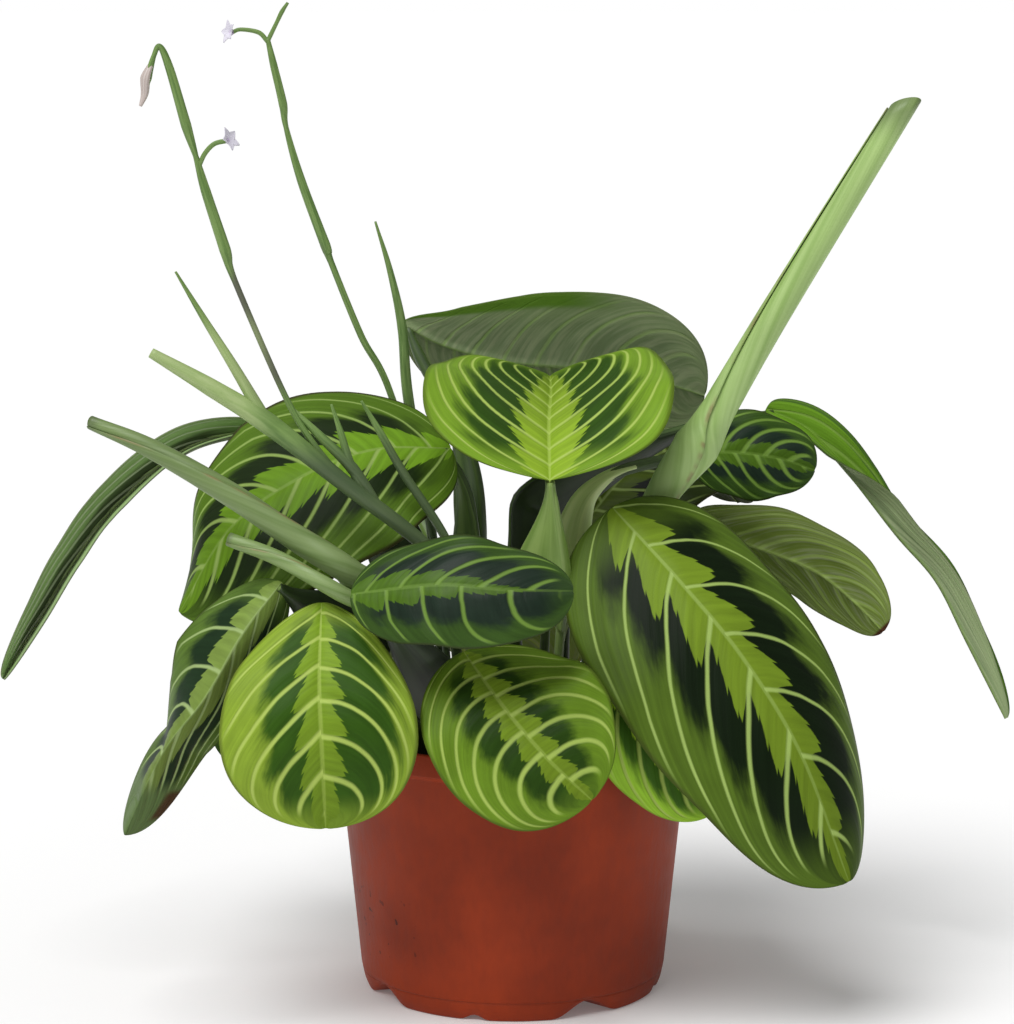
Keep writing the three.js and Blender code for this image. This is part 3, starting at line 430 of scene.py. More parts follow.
# The low leaves at the side and rear droop alike
DROOPING = {"fold": [8, 2], "bend": [-20, -12], "wave": 1.2}
LEAVES = [
    Leaf("leaf_front_left", (-18, -30), [(-42, -50, 124)],
         rib=[(-62, -61, 144), (-62, -78, 122), (-61, -86, 103), (-60, -85, 75)],
         face=[(-0.1, -0.7, 0.8), (0, -1, 0.3), (0, -1, 0)], halves=(31, 33),
         fold=[8, 2], bend=[-24, -14], widest=0.6,
         tone="lime", climb=(0.1, 0.42), curl=(0.45, 0.1), starts=(-0.39, -0.28), band=(0.28, 0.22),
         blotch=(0.88, 0.64), notch=0.42, shade=0.9, stalk_tone="light"),
    Leaf("leaf_front_middle", (-5, -36), [(-28, -62, 124)],
         rib=[(-52, -73, 149), (-24, -84, 154), (-3, -87, 153), (19, -84, 152)],
         face=[(0.1, -0.8, 0.6), (0, -0.8, 0.6), (0.1, -0.8, 0.6)], halves=20,
         fold=[(-4, -10), (-4, -10)], bend=[(-14, -16), (-14, -16)],
         tone="blue", veins=5.3, climb=(0.3, 0.02), curl=(0.3, 0.17), starts=(-0.48, -0.1),
         band=(0.5, -0.12), blotch=0.72, sheen=0.15, shade=0.7, sheath=(0.3, 0.95, 12, 6, "deep")),
    Leaf("leaf_front_right", (5, -40), [(-4, -54, 112)],
         rib=[(-16, -62, 128), (-3, -78, 113), (11, -86, 98), (25, -88, 85)],
         face=[(0.1, -0.7, 0.7), (0.05, -1, 0.3), (0.1, -1, 0.1)], halves=30,
         fold=[6, 0], bend=[-20, -12], widest=0.52,
         tone="mid", veins=7.6, climb=(0.05, 0), curl=(0.36, 0.5), starts=(0.21, 0.47), band=(0.26, 0.16),
         notch=0.42, blotch=(0.5, 0.56), shade=0.82, stalk_tone="light"),
    Leaf("leaf_right_large", (19, -18), [(27, -20, 130), (30, -22, 158)],
         rib=[(33, -28, 170), (56, -48, 147), (75, -60, 125), (93, -70, 96), (109, -72, 54)],
         face=[(0.1, -0.7, 0.7), (0.2, -0.85, 0.5), (0.2, -0.95, 0.2)], halves=(37, 44),
         fold=[(4, -14), (-24, 0)], bend=[(-22, -16), (-40, -10)], widest=0.43, wave=1.4,
         tone="deep", climb=(0.15, 0.44), curl=0.2, starts=(0, 0.36), band=(0.37, 0.17), notch=0.4,
         blotch=(0.76, 0.64), shade=0.84),
    Leaf("leaf_centre_top", (12, -28), [(16, -38, 140)],
         rib=[(12, -42, 181), (12, -15, 196), (13, 12, 203), (13, 38, 206)],
         face=[(0, -0.6, 0.9), (0, -0.3, 1), (0, 0, 1)], halves=44,
         fold=[22, (28, 34)], bend=[-16, -16], widest=0.4,
         tone="mid", veins=8.6, climb=0.4, curl=0.3, starts=0, band=(0.4, 0.08), notch=0.6, blotch=0.78,
         shade=1.12, stalk_tone="light", sheath=(0.55, 0.99, 15, 2, "light")),
    Leaf("leaf_back_top", (-9, 22), [(-11, 25, 142), (-15, 37, 178), (-32, 50, 210)],
         rib=[(-39, 54, 223), (-24, 56, 215), (-2, 57, 209), (26, 59, 206), (50, 58, 202), (68, 56, 197)],
         face=[(0, 0.9, 0.3), (0, 0.9, 0.4), (0.1, 0.9, 0.4)], halves=(31, 32),
         fold=[6, 4], bend=[-12, -12], widest=0.64, wave=0.8,
         tone="blue", veins=9, climb=0.1, curl=0.2, shade=1.95, stalk_tone="dark", marks=("bright_edge",),
         sheath=(0.42, 0.85, 7, 1, "dark")),
    Leaf("leaf_left_upper", (-14, -3), [(-12, -2, 140), (-15, -1, 168)],
         rib=[(-21, 0, 186), (-47, -12, 187), (-71, -22, 179), (-94, -30, 163), (-111, -30, 135)],
         face=[(0, -0.5, 0.85), (-0.1, -0.6, 0.8), (-0.7, -0.6, 0.4)], halves=(40, 38),
         fold=[(-4, 4), (-6, 0), (-10, -22)], bend=[(-12, 0), (-16, -10), (-20, -24)], wave=1.2,
         tone="dusk", veins=7.5, climb=(0.5, 0.15), curl=(0.2, 0.35), band=(0.34, 0.24), blotch=0.66,
         shade=1.5, stalk_tone="dark", marks=("dark_edge",), sheath=(0.5, 0.97, 7, 0, "green")),
    # Painted light: a high shade brightens this folded leaf, which faces away from the light.
    Leaf("leaf_left_hanging", (-26, 14), [(-38, 26, 140), (-62, 36, 182)],
         rib=[(-88, 34, 188), (-113, 30, 181), (-136, 24, 163), (-150, 16, 145), (-161, 10, 127),
              (-175, 5, 105)],
         face=[(-0.3, -0.9, 0.4), (-0.2, -1, 0.1), (-0.1, -1, 0.1)], halves=(17, 16),
         fold=[(68, 66), (72, 68)], bend=[4, 4], wave=0.4,
         tone="stripe", veins=5, climb=0.7, curl=0.2, band=(0.2, 0.2), blotch=0.6, shade=(1.6, 2.5),
         stalk_tone="dark", sheath=(0.36, 0.82, 9, 9, "deep")),
    Leaf("leaf_left_lower", (-29, -17), [(-52, -40, 126)],
         rib=[(-75, -57, 150), (-87, -66, 135), (-99, -72, 115), (-113, -74, 97), (-126, -70, 69)],
         face=[(-0.2, -0.9, 0.5), (-0.1, -1, 0.2), (-0.1, -1, 0.2)], halves=27,
         fold=[(-70, -12), (-70, -36), (-70, -74), -62], bend=[(-10, -30), 0, 0, 0],
         tone="pale", veins=6.2, climb=(0.6, 0), curl=(0.2, 0.25), band=(0.34, 0.24), notch=0.8,
         blotch=0.76, shade=0.74, stalk_tone="light", marks=("grey_tip",), sheath=(0.5, 1, 12, 14, "deep")),
    Leaf("leaf_left_under", (-34, -6), [(-48, -18, 112)],
         rib=[(-54, -26, 124), (-70, -36, 117), (-84, -42, 103), (-92, -44, 86)],
         face=[(-0.3, -0.6, 0.8), (-0.4, -0.8, 0.6), (-0.5, -0.9, 0.2)], halves=20,
         fold=[0, 20], bend=[-20, -10], tone="blue"),
    Leaf("leaf_right_middle", (24, 6), [(34, 10, 130), (46, 14, 148)],
         rib=[(60, 16, 158), (84, 14, 150), (104, 10, 142), (117, 7, 132), (127, 4, 122)],
         face=[(0.4, 0.7, 0.6), (0.3, 0.85, 0.4), (0.3, 0.9, 0.3)], halves=17, fold=[6, 6], bend=[10, 10],
         tone="deep", climb=0.3, shade=1.5, marks=("brown_tip",)),
    Leaf("leaf_right_upper", (16, 14), [(20, 2, 151), (31, 12, 173)],
         rib=[(60, 28, 180), (76, 32, 180), (92, 32, 178), (105, 30, 174)],
         face=[(0, -0.85, 0.55), (0, -0.85, 0.5), (0.3, -0.85, 0.4)], halves=17,
         fold=[4, 0], bend=[-14, -14],
         tone="blue", veins=6, shade=0.7, stalk_tone="dark", sheath=(0.35, 0.85, 6, 5, "pale")),
    Leaf("leaf_right_hanging", (2, 10), [(0, 10, 150), (8, 17, 172), (62, 49, 186)],
         rib=[(90, 58, 192), (106, 57, 184), (121, 52, 168), (136, 43, 149), (149, 36, 134),
              (159, 28, 114), (172, 20, 88)],
         face=[(0, -0.75, 0.65), (0.2, -0.6, 0.8), (0.7, 0.2, 0.65), (0.75, 0.1, 0.6), (0.8, 0.1, 0.5),
               (0.9, 0, 0.4)], halves=(10, 9), fold=[20, (82, 76)], bend=[0, 10], widest=0.38, wave=0.4,
         tone="blue", veins=5, climb=0.5, curl=0.2, band=(1.2, 0.2), blotch=0.5, shade=(2.2, 1.4),
         stalk_tone="dark", marks=("smooth_under",), sheath=(0.28, 0.9, 0, 18, "deep")),
    Leaf("leaf_right_under", (27, -30), [(26, -38, 110)],
         rib=[(28, -44, 124), (43, -54, 104), (55, -55, 88), (66, -52, 72)],
         face=[(0.2, -0.8, 0.6), (0.2, -1, 0.3), (0.2, -1, 0.1)], halves=21, fold=[6, 0], bend=[-16, -16],
         tone="mid", veins=6, climb=(0.1, 0.4), curl=(0.3, 0.2), shade=2.1, stalk_tone="light"),
    Leaf("leaf_right_low", (34, -12), [(42, -8, 112)],
         rib=[(52, -4, 132), (70, -2, 126), (86, 0, 106), (94, 2, 82)],
         face=[(0.2, -0.1, 1), (0.7, -0.1, 0.7), (1, 0, 0.2)], halves=25, tone="deep", **DROOPING),
    Leaf("leaf_back_right_low", (34, 20), [(42, 34, 112)],
         rib=[(46, 50, 138), (61, 68, 133), (75, 84, 111), (81, 90, 82)],
         face=[(0, 0.1, 1), (0.5, 0.6, 0.7), (0.65, 0.75, 0.2)], halves=29,
         tone="dusk", veins=7, **DROOPING),
    # Painted shade: a very low shade darkens this leaf to stand for the shadow behind the plant.
    Leaf("leaf_back_right", (10, 32), [(14, 50, 132)],
         rib=[(26, 66, 150), (44, 79, 168), (64, 96, 171), (84, 112, 150)],
         face=[(-0.1, -0.9, 0.5), (0, -0.5, 0.9), (0.5, 0.5, 0.7)], halves=30,
         fold=[10, 4], bend=[-18, -14], widest=0.4, wave=1.2, tone="deep", veins=7.2, shade=0.22),
    Leaf("leaf_back_low", (-2, 40), [(0, 50, 112)],
         rib=[(3, 62, 134), (4, 84, 130), (3, 104, 110), (3, 112, 82)],
         face=[(0, -0.1, 1), (0, 0.8, 0.7), (0, 1, 0.1)], halves=35, fold=[4, 0], bend=[-20, -12], wave=1.2,
         tone="lime", veins=7, stalk_tone="light"),
    Leaf("leaf_back_high", (-17, 33), [(-24, 50, 130)],
         rib=[(-36, 70, 160), (-46, 92, 168), (-54, 114, 160), (-60, 130, 140)],
         face=[(0, -0.1, 1), (0, 0.3, 1), (0, 0.9, 0.5)], halves=26,
         fold=[10, 4], bend=[-18, -14], wave=1.2, tone="dusk"),
    Leaf("leaf_back_left_low", (-31, 27), [(-36, 38, 108)],
         rib=[(-37, 50, 122), (-50, 70, 116), (-61, 86, 98), (-66, 93, 74)],
         face=[(0, 0.1, 1), (-0.5, 0.6, 0.7), (-0.65, 0.75, 0.2)], halves=(30, 27),
         tone="blue", **DROOPING),
    Leaf("leaf_back_left", (-39, 9), [(-52, 22, 124)],
         rib=[(-68, 34, 150), (-84, 48, 150), (-98, 60, 134), (-106, 66, 110)],
         face=[(0.1, -0.1, 1), (-0.5, 0.3, 0.8), (-0.8, 0.5, 0.2)], halves=27,
         tone="deep", veins=7, **DROOPING),
]

# Veins bend from the midrib towards the tip, closest at the base, and the blade bulges between them
CROWDING = 0.25
BASE_STRAIGHTENING = 0.75
BULGE = 0.5
BLADE_THICKNESS = 0.5
KEEL = 1.3
GROOVE = 0.3
ALONG, ACROSS = 84, 22


def vein_phase(leaf, u, v):
    """Counts veins towards the tip: whole numbers lie on a vein."""
    which, reach = (v >= 0).astype(int), np.abs(v)
    swept = np.array(leaf.climb)[which] * reach + np.array(leaf.curl)[which] * reach ** 3
    from_base = u - swept * (1 - BASE_STRAIGHTENING * (1 - u) ** 2)
    spread = from_base * (1 + CROWDING - CROWDING * from_base)
    return spread * leaf.veins + np.array(leaf.starts)[which]


def add_blade(body, leaf):
    u = (1 - np.cos(np.linspace(0, np.pi, ALONG + 1))) / 2
    even = np.linspace(-1, 1, 2 * ACROSS + 1)
    v = np.sign(even) * np.abs(even) ** 1.2
    middle = leaf.surface(u, v)
    normal = unit(np.cross(np.gradient(middle, axis=1), np.gradient(middle, axis=0)))
    reach, off_rib = np.abs(v), np.abs(v) * leaf.half_width(u, v)
    fade = leaf.outline(u)[:, None] * (1 - reach ** 3) * smooth(0, 4, off_rib)
    phase = vein_phase(leaf, u[:, None], v)
    relief = BULGE * fade * np.sin(np.pi * phase) ** 2
    keel = KEEL * (1 - 0.75 * u)[:, None]
    groove = GROOVE * np.exp(-(off_rib / 0.9) ** 2)
    ridge = keel * np.exp(-(off_rib / keel) ** 2)
    top = BLADE_THICKNESS / 2 + relief - groove
    bottom = relief - BLADE_THICKNESS / 2 - ridge
    patterns = [stacked(u[:, None], v, face) for face in (1.0, 0.0)]
    body.add_sheet(middle + normal * top[..., None], middle + normal * bottom[..., None], *patterns)


STALK_SIDES, STALK_STEPS = 16, 56
SHEATH_RADIUS, STALK_RADIUS, JOINT_RADIUS, STALK_END_RADIUS = 2.9, 1.6, 2.1, 1.0
SHEATH_ROWS, SHEATH_COLUMNS, SHEATH_THICKNESS, SHEATH_PATTERN_LENGTH = 40, 13, 0.6, 60


def around(points, tangents, reach, angle):
    """Points at a reach and an angle round each point of a line."""
    side = carried_sides(tangents)
    up = np.cross(tangents, side)
    return (points[:, None] + side[:, None] * (reach * np.cos(angle))[..., None]
            + up[:, None] * (reach * np.sin(angle))[..., None])


def rings_along(points, tangents, radii, sides, shape=None):
    """Rings of points round a line. shape gives a factor on the radius at an angle."""
    angle = np.linspace(0, 2 * np.pi, sides, endpoint=False)
    factor = shape(angle) if shape else np.ones(sides)
    return around(points, tangents, radii[:, None] * factor, angle)


def add_stalk(body, leaf):
    x, y = leaf.root
    end = np.array([STALK_INTO_BLADE])
    under = leaf.rib.at(end) - STALK_UNDER_BLADE * leaf.upward(end)
    lower_end, soil_line = (x, y, SOIL_LEVEL - ROOT_DEPTH), (x, y, SOIL_LEVEL + UPRIGHT_ABOVE_SOIL)
    curve = Curve([lower_end, soil_line, *leaf.stalk, *under])
    shares = np.linspace(0, 1, STALK_STEPS + 1)
    sheath = SHEATH_RADIUS + (STALK_RADIUS - SHEATH_RADIUS) * smooth(0.15, 0.5, shares)
    joint = (JOINT_RADIUS - STALK_RADIUS) * smooth(0.76, 0.84, shares)
    end = smooth(0.92, 1, shares)
    radii = (sheath + joint) * (1 - end) + STALK_END_RADIUS * end
    rings = rings_along(curve.at(shares), curve.tangent(shares), radii, STALK_SIDES,
                        lambda angle: 1 - 0.14 * np.exp(-((angle - np.pi) / 0.5) ** 2))
    body.add_tube(rings, curve.length, slot=1)
    if leaf.sheath:
        add_sheath(body, curve, *leaf.sheath[:4])


def add_sheath(body, curve, start, end, left, right):
    """A broad thin sheath that clasps the stalk from the front, tapering at both ends.
    Those in the "deep" colour are painted shade in the shadowed gaps between the leaves.
    """
    share = np.linspace(0, 1, SHEATH_ROWS)
    along = start + (end - start) * share
    points, tangents = curve.at(along), curve.tangent(along)
    side = unit(np.cross(tangents, (0, -1, 0)))
    front = np.cross(side, tangents)
    across = np.linspace(-1, 1, SHEATH_COLUMNS)
    width = (smooth(0, 0.25, share) * (1 - smooth(0.35, 1, share)))[:, None]
    width = width * np.where(across < 0, left, right)
    reach = across * (width + STALK_RADIUS)
    cup = (STALK_RADIUS + 0.5) * (1 - 1.6 * across ** 2)
    middle = points[:, None] + side[:, None] * reach[..., None] + front[:, None] * cup[None, :, None]
    shift = front[:, None] * SHEATH_THICKNESS / 2
    pattern = stacked(share[:, None], across / 2 + 0.5, share[:, None] * SHEATH_PATTERN_LENGTH)
    body.add_sheet(middle + shift, middle - shift, pattern, pattern, slot=2)


def leaf_finish(leaf):
    """The markings: pale veins, a saw-toothed band along the midrib, and dark blotches between veins."""
    finish = Finish(leaf.name, Specular_IOR_Level=leaf.sheen)
    u, v, face = finish.pattern()
    seed = float(len(leaf.name)) + leaf.root[0]
    tone, length, half = leaf.tone, leaf.rib.length, leaf.halves.mean()
    under_shade, upper_shade = leaf.shade
    reach, above = abs(v), v.math("GREATER_THAN", 0)
    pairs = leaf.climb, leaf.curl, leaf.starts, leaf.blotch
    climb, curl, start, blotch_reach = (above * (high - low) + low for low, high in pairs)
    wobble = (finish.noise(u * 3, v * 2, seed) - 0.5) * 0.16
    sweep = 1 - (1 - u) * (1 - u) * BASE_STRAIGHTENING
    from_base = u - (climb * reach + curl * reach ** 3) * sweep
    phase = from_base * (1 + CROWDING - from_base * CROWDING) * leaf.veins + start + wobble
    steep = (reach * reach * curl * 3 + climb) * sweep * (length / half)
    spacing = (steep * steep + 1).math("SQRT") ** -1 * (length / leaf.veins)
    between = phase.fraction()
    apart = abs((phase + 0.5).fraction() - 0.5) * spacing

    # Fine lines beside the veins, slow changes of tone, and ragged edges
    lines = finish.noise(phase * 7, reach * 1.6, seed, detail=3)
    cloud = finish.noise(u * 5, v * 3, seed + 9)
    ragged = finish.noise(phase * 8, reach * 12, seed + 3, detail=3) - 0.5

    tooth = between.rise(0.0, 0.8) * (1 - leaf.notch) + leaf.notch
    step = between.rise(0.84, 0.99) * -0.7 + 1
    small_teeth = (phase * 4).fraction() * 0.04
    band_reach = u * (leaf.band[1] - leaf.band[0]) + leaf.band[0]
    band_width = band_reach * tooth * step + small_teeth + ragged * 0.06
    band = reach.fall(band_width - 0.012, band_width + 0.012)
    bow = (between * 2 - 1) * (between * 2 - 1)
    blotch_edge = (1 - bow * 0.22) * blotch_reach + (cloud - 0.5) * 0.3 + ragged * 0.14
    blotch = reach.fall(blotch_edge - 0.16, blotch_edge + 0.06) * u.rise(0.02, 0.16)
    blotch = blotch * (1 - u.rise(0.84, 0.98) * 0.6)
    vein_half = (1 - reach * 0.4) * 0.92
    vein = apart.fall(vein_half * 0.3, vein_half * 1.35) * reach.fall(0.86, 1.0) * u.fall(0.9, 0.96)
    rib = (reach * half).fall(0.3, 1.0)
    edge = reach.rise(0.955, 0.99)

    upper = finish.mix(blotch, tone["margin"], tone["blotch"])
    upper = finish.shade(upper, lines * 0.7 + cloud * 0.5 + 0.4)
    stripes = finish.shade(tone["band"], (lines * 0.8 + 0.6) * (1.12 - u * 0.4))
    # Painted light and shade: the leaf's shade brightens or darkens its markings, and the veins take part
    # of it.
    upper = finish.shade(finish.mix(band, upper, stripes), upper_shade)
    vein_colour = finish.shade(tone["vein"], min(1, math.sqrt(upper_shade)))
    upper = finish.mix(vein * (lines * 0.4 + 0.7), upper, vein_colour)
    upper = finish.mix(rib * (0.6 - u * 0.35), upper, vein_colour)

    lower = finish.mix(blotch * 0.25, tone["under"], tone["blotch"])
    if "smooth_under" not in leaf.marks:
        lower = finish.mix(vein * 0.26, lower, tone["vein"])
    lower = finish.mix(lines.rise(0.4, 0.65) * 0.5, lower, UNDER_GREY)
    # Painted light and shade on the underside, from the leaf's shade for it.
    lower = finish.shade(lower, (lines * 0.4 + cloud * 0.4 + 0.6) * under_shade)
    lower = finish.mix(rib * 0.4, lower, tone["vein"])
    if "bright_edge" in leaf.marks:
        lower = finish.mix(v.rise(0.74, 0.84) * u.fall(0.5, 0.72), lower, linear(96, 134, 44))

    colour = finish.mix(face.rise(0.4, 0.6), lower, upper)
    colour = finish.mix(edge * (0.85 if "dark_edge" in leaf.marks else 0.4), colour, EDGE_COLOUR)
    if "grey_tip" in leaf.marks:
        grey = finish.shade(linear(92, 114, 66), lines * 0.8 + 0.6)
        colour = finish.mix(u.rise(0.78, 0.86), colour, grey)
        withered = v.fall(-0.75, -0.55) * u.rise(0.83, 0.86) * u.fall(0.93, 0.96)
        colour = finish.mix(withered * 0.9, colour, BROWN)
    if "brown_tip" in leaf.marks:
        colour = finish.mix(u.rise(0.975, 0.99), colour, BROWN)
    roughness = 0.64 - face * 0.2 + (lines - 0.5) * 0.12
    height = lines * 0.5 + cloud * 0.3 - vein * 0.5
    return finish.finish(colour, roughness, height, 0.35)


STALK_COLOURS = {
    # Painted light: "pale" is lightened so that a sheath standing in shade looks lit.
    "pale": [(224, 240, 164), (200, 224, 138)],
    "light": [(134, 160, 84), (108, 138, 58)],
    "green": [(100, 128, 52), (74, 104, 38)],
    "dark": [(78, 102, 46), (54, 76, 34)],
    # Painted shade: "deep" is near black, for sheaths that fill the shadowed gaps between the leaves.
    "deep": [(44, 64, 24), (30, 46, 16)],
}
STREAKS_ROUND = 7.0


def streaked_finish(name, *colours):
    """A stalk's skin: lengthwise streaks, and painted shade that makes it deeper in tone near the soil."""
    finish = Finish(name, Roughness=0.45)
    along, round_, length = finish.pattern()
    swing = (round_ * (2 * math.pi)).math("SINE")
    streak = finish.noise(round_ * STREAKS_ROUND, length * 0.02, swing, detail=3)
    cloud = finish.noise(length * 0.05, swing, 4.0)
    colour = finish.mix(streak.rise(0.35, 0.7), *(linear(*colour) for colour in colours))
    colour = finish.shade(colour, cloud * 0.5 + 0.75)
    # Painted shade: darker towards the soil, where the stalks stand in the shadow of the leaves.
    _, _, height = finish.place()
    colour = finish.shade(colour, height.rise(0.095, 0.155) * 0.65 + 0.35)
    return finish.finish(colour, streak * 0.2 + 0.36, streak, 0.15)


stalk_finishes = {tone: streaked_finish(f"stalk_{tone}", *colours)
                  for tone, colours in STALK_COLOURS.items()}
material_slots = {row["node"]: row["material_slot"] for row in frame["record"]["subparts"]}

for leaf in LEAVES:
    body = Body()
    add_blade(body, leaf)
    add_stalk(body, leaf)
    sheath_tone = leaf.sheath[4] if leaf.sheath else leaf.stalk_tone
    body.make(f"{leaf.name}_fine",
              [leaf_finish(leaf), stalk_finishes[leaf.stalk_tone], stalk_finishes[sheath_tone]],
              material_slots[leaf.name], leaf.name)


# Rolled young leaves: a thin sheet wound into a tube whose edge runs round it, on a stalk
ROLL_OVERLAP = 0.22
ROLL_TURN = math.radians(200)
ROLL_COILS = 1.62
ROLL_SIDES = 60
ROLL_STALK_PATTERN_LENGTH = 60
PATH_STEPS = 14
END_LEAN = np.array([0.75, -0.65, 0])
ROLL_COLOURS = linear(154, 180, 112), linear(128, 158, 84)
ROLL_BASE_COLOUR = linear(110, 140, 56)
ROLL_EDGE_COLOUR, ROLL_TIP_COLOUR = linear(140, 122, 80), linear(84, 98, 62)
# Each with its root, the slant of its open end, the turn of its free edge in degrees, its shade, or a pair
# for its base and the rest, and its path of (x, y, z, radius)
ROLLED = [
    ("rolled_leaf_right", (27, -3), 1.1, 88, (0.8, 1.25),
     [(36, -5, 140, 3), (50, -6, 170, 5), (62, -6, 187, 7), (69.5, -6, 200, 5), (89, -6, 234, 4.4),
      (130, -6, 302, 3.6)]),
    ("rolled_leaf_left", (-24, -24), 0.6, 0, 0.6,
     [(-36, -44, 138, 3), (-53, -56, 153, 3.8), (-69, -54, 163, 3.7), (-92, -50, 178, 3.5),
      (-118, -44, 192, 2.8), (-138, -40, 200, 1.9)]),
    ("rolled_leaf_small", (-12, -20), 0.3, 0, 0.72,
     [(-34, -52, 132, 2.2), (-56, -66, 148, 2.2), (-75, -60, 158, 2.2), (-92, -56, 164, 1.9)]),
]


def rooted(root, path):
    start = path[0][3]
    return [(*root, SOIL_LEVEL - ROOT_DEPTH, start), (*root, SOIL_LEVEL + UPRIGHT_ABOVE_SOIL, start), *path]


def along_path(path, first=0):
    """Points, tangents and radii along a path of (x, y, z, radius), from its point number first on."""
    curve = Curve([point[:3] for point in path])
    times = np.linspace(first, curve.spans, PATH_STEPS * (curve.spans - first) + 1)
    radii = np.interp(times, np.arange(len(path)), [point[3] for point in path])
    return curve.at_time(times), curve.tangent_at_time(times), radii


def add_scroll(body, points, tangents, radii, slant, turned):
    """The wound sheet, open at its end, which is cut on a slant. turned moves its free edge round."""
    share = np.linspace(0, 1, len(points))[:, None]
    wind = np.linspace(-ROLL_COILS, 0, ROLL_SIDES)[None] * 2 * np.pi
    angle = wind + 2 * np.pi - ROLL_TURN * share - math.radians(turned)
    grown = np.minimum(1, 3 * share)
    factor = 1 + ROLL_OVERLAP * (1 + wind / (2 * np.pi)) * (0.35 + 0.65 * grown)
    half = np.clip(0.055 * radii, 0.13, 0.3)[:, None]
    grids = []
    for step in (half, -half):
        grid = around(points, tangents, radii[:, None] * factor + step, angle)
        lean = ((grid - points[:, None]) * END_LEAN).sum(-1)
        grids.append(grid + tangents[:, None] * (lean * slant * share ** 4)[..., None])
    pattern = stacked(share, np.linspace(0, 1, ROLL_SIDES), share * steps_between(points).sum())
    body.add_sheet(*grids, pattern, pattern)


def roll_finish(name, low_shade, high_shade):
    """A rolled leaf's skin: lengthwise veins, and a deeper green towards its base where that is darker."""
    finish = Finish(name, Roughness=0.45)
    along, across, length = finish.pattern()
    veins = finish.noise(across * 26 + length * 0.05, length * 0.012, 2.0, detail=3)
    cloud = finish.noise(across * 3, length * 0.04, 6.0)
    darker = high_shade - low_shade
    colour = finish.mix(veins.rise(0.3, 0.75), *ROLL_COLOURS)
    colour = finish.mix(along.fall(0.0, 0.4) * darker, colour, ROLL_BASE_COLOUR)
    colour = finish.shade(colour, (cloud * 0.4 + 0.8) * (along.rise(0.0, 0.4) * darker + low_shade))
    edge = across.rise(0.975, 0.99) * finish.noise(length * 0.06, 1.0, 3.0).rise(0.45, 0.6)
    colour = finish.mix(edge * 0.7, colour, ROLL_EDGE_COLOUR)
    tip = along.rise(0.955, 0.995) * cloud.rise(0.25, 0.6)
    colour = finish.mix(tip * 0.7, colour, ROLL_TIP_COLOUR)
    return finish.finish(colour, veins * 0.2 + 0.38, veins, 0.25)


for name, root, slant, turned, shade, path in ROLLED:
    body = Body()
    whole = rooted(root, path)
    points, tangents, radii = along_path(whole[:4])
    inner = rings_along(points, tangents, radii * 0.94, STALK_SIDES)
    body.add_tube(inner, ROLL_STALK_PATTERN_LENGTH, slot=1)
    add_scroll(body, *along_path(whole, 2), slant, turned)
    body.make(f"{name}_fine", [roll_finish(name, *pair(shade)), stalk_finishes["light"]],
              material_slots[name], name)


# Flower shoots: stems that bracts swell, pointed bract tips, and small white flowers
SHOOT_SIDES, WITHERED_PATTERN_LENGTH = 14, 14
SHOOTS = {
    "flower_shoot_left": {
        "root": (-5, -14),
        "stems": [
            [(-10, -30, 130, 2.2), (-26, -44, 157, 2.4), (-54, -52, 181, 2.8), (-79, -52, 201, 3.6),
             (-98, -51, 213, 3), (-117, -50, 224, 1.7)],
            [(-54, -52, 181, 1.2), (-66, -50, 196, 1.1), (-75, -48, 212, 1), (-90, -46, 247, 1),
             (-93, -46, 257, 1.9), (-99, -46, 276, 1.6), (-102, -46, 287, 0.9), (-105, -46, 297, 1.7),
             (-110, -46, 315, 1.4), (-113, -46, 322, 0.9), (-115, -46, 319, 0.8), (-117, -46, 312, 1.3),
             (-118, -46, 308, 0.6)],
            [(-101, -46, 284, 0.8), (-99, -46, 288, 0.8), (-96, -46, 291, 0.8), (-92, -46, 292, 0.8)],
            [(-80, -52, 202, 2.2), (-90, -50, 219, 1.7), (-100, -48, 235, 1.1), (-109, -47, 250, 0.4)],
            [(-42, -49, 171, 1.2), (-52, -50, 186, 2), (-63, -49, 197, 1.5), (-73, -48, 207, 0.4)],
            [(-48, -51, 176, 1.2), (-53, -50, 188, 1.5), (-56, -49, 198, 1.1), (-59, -48, 207, 0.4)],
            [(-14, -34, 137, 1.6), (-22, -34, 160, 1.5), (-36, -33, 182, 1.5), (-44, -32, 196, 1.2),
             (-50, -31, 206, 0.4)],
        ],
        "blooms": [((-92, -46, 292), (0.8, -0.5, 0.4))],
        "withered": [(-116, -46, 316, 0.9), (-117.5, -46.5, 312, 1.6), (-118, -45.5, 307, 1.2),
                     (-119.5, -46, 303, 0.5)],
    },
    "flower_shoot_back": {
        "root": (-21, 5),
        "stems": [
            [(-27, 15, 150, 1.4), (-42, 20, 202, 1.2), (-52, 20, 222, 1.2), (-62, 20, 247, 1.1),
             (-64, 20, 253, 1.8), (-72, 20, 275, 1.5), (-77, 20, 293, 0.9), (-78, 20, 301, 1.5),
             (-81, 20, 314, 1.3), (-83, 20, 323, 0.8)],
            [(-83, 20, 322, 0.8), (-86, 20, 325, 0.8), (-92, 20, 326, 0.7), (-95, 20, 325, 0.7)],
            [(-83, 20, 322, 0.8), (-80, 20, 328, 0.7), (-78, 20, 332, 0.8), (-76, 20, 335, 0.5)],
        ],
        "blooms": [((-95, 20, 325), (-0.8, -0.5, 0.2))],
    },
    "pointed_shoot_back": {
        "root": (-24, 24),
        "stems": [
            [(-28, 30, 150, 1.8), (-36, 26, 199, 1.9), (-38, 24, 224, 1.7), (-42, 22, 244, 1.1),
             (-47, 22, 261, 0.4)],
        ],
    },
}
PETALS = 5
PETAL_LENGTH = 5.2
PETAL_HALF_WIDTH = 1.7
PETAL_THICKNESS = 0.3
PETAL_SPREAD = math.radians(55)
PETAL_SINK = 0.8


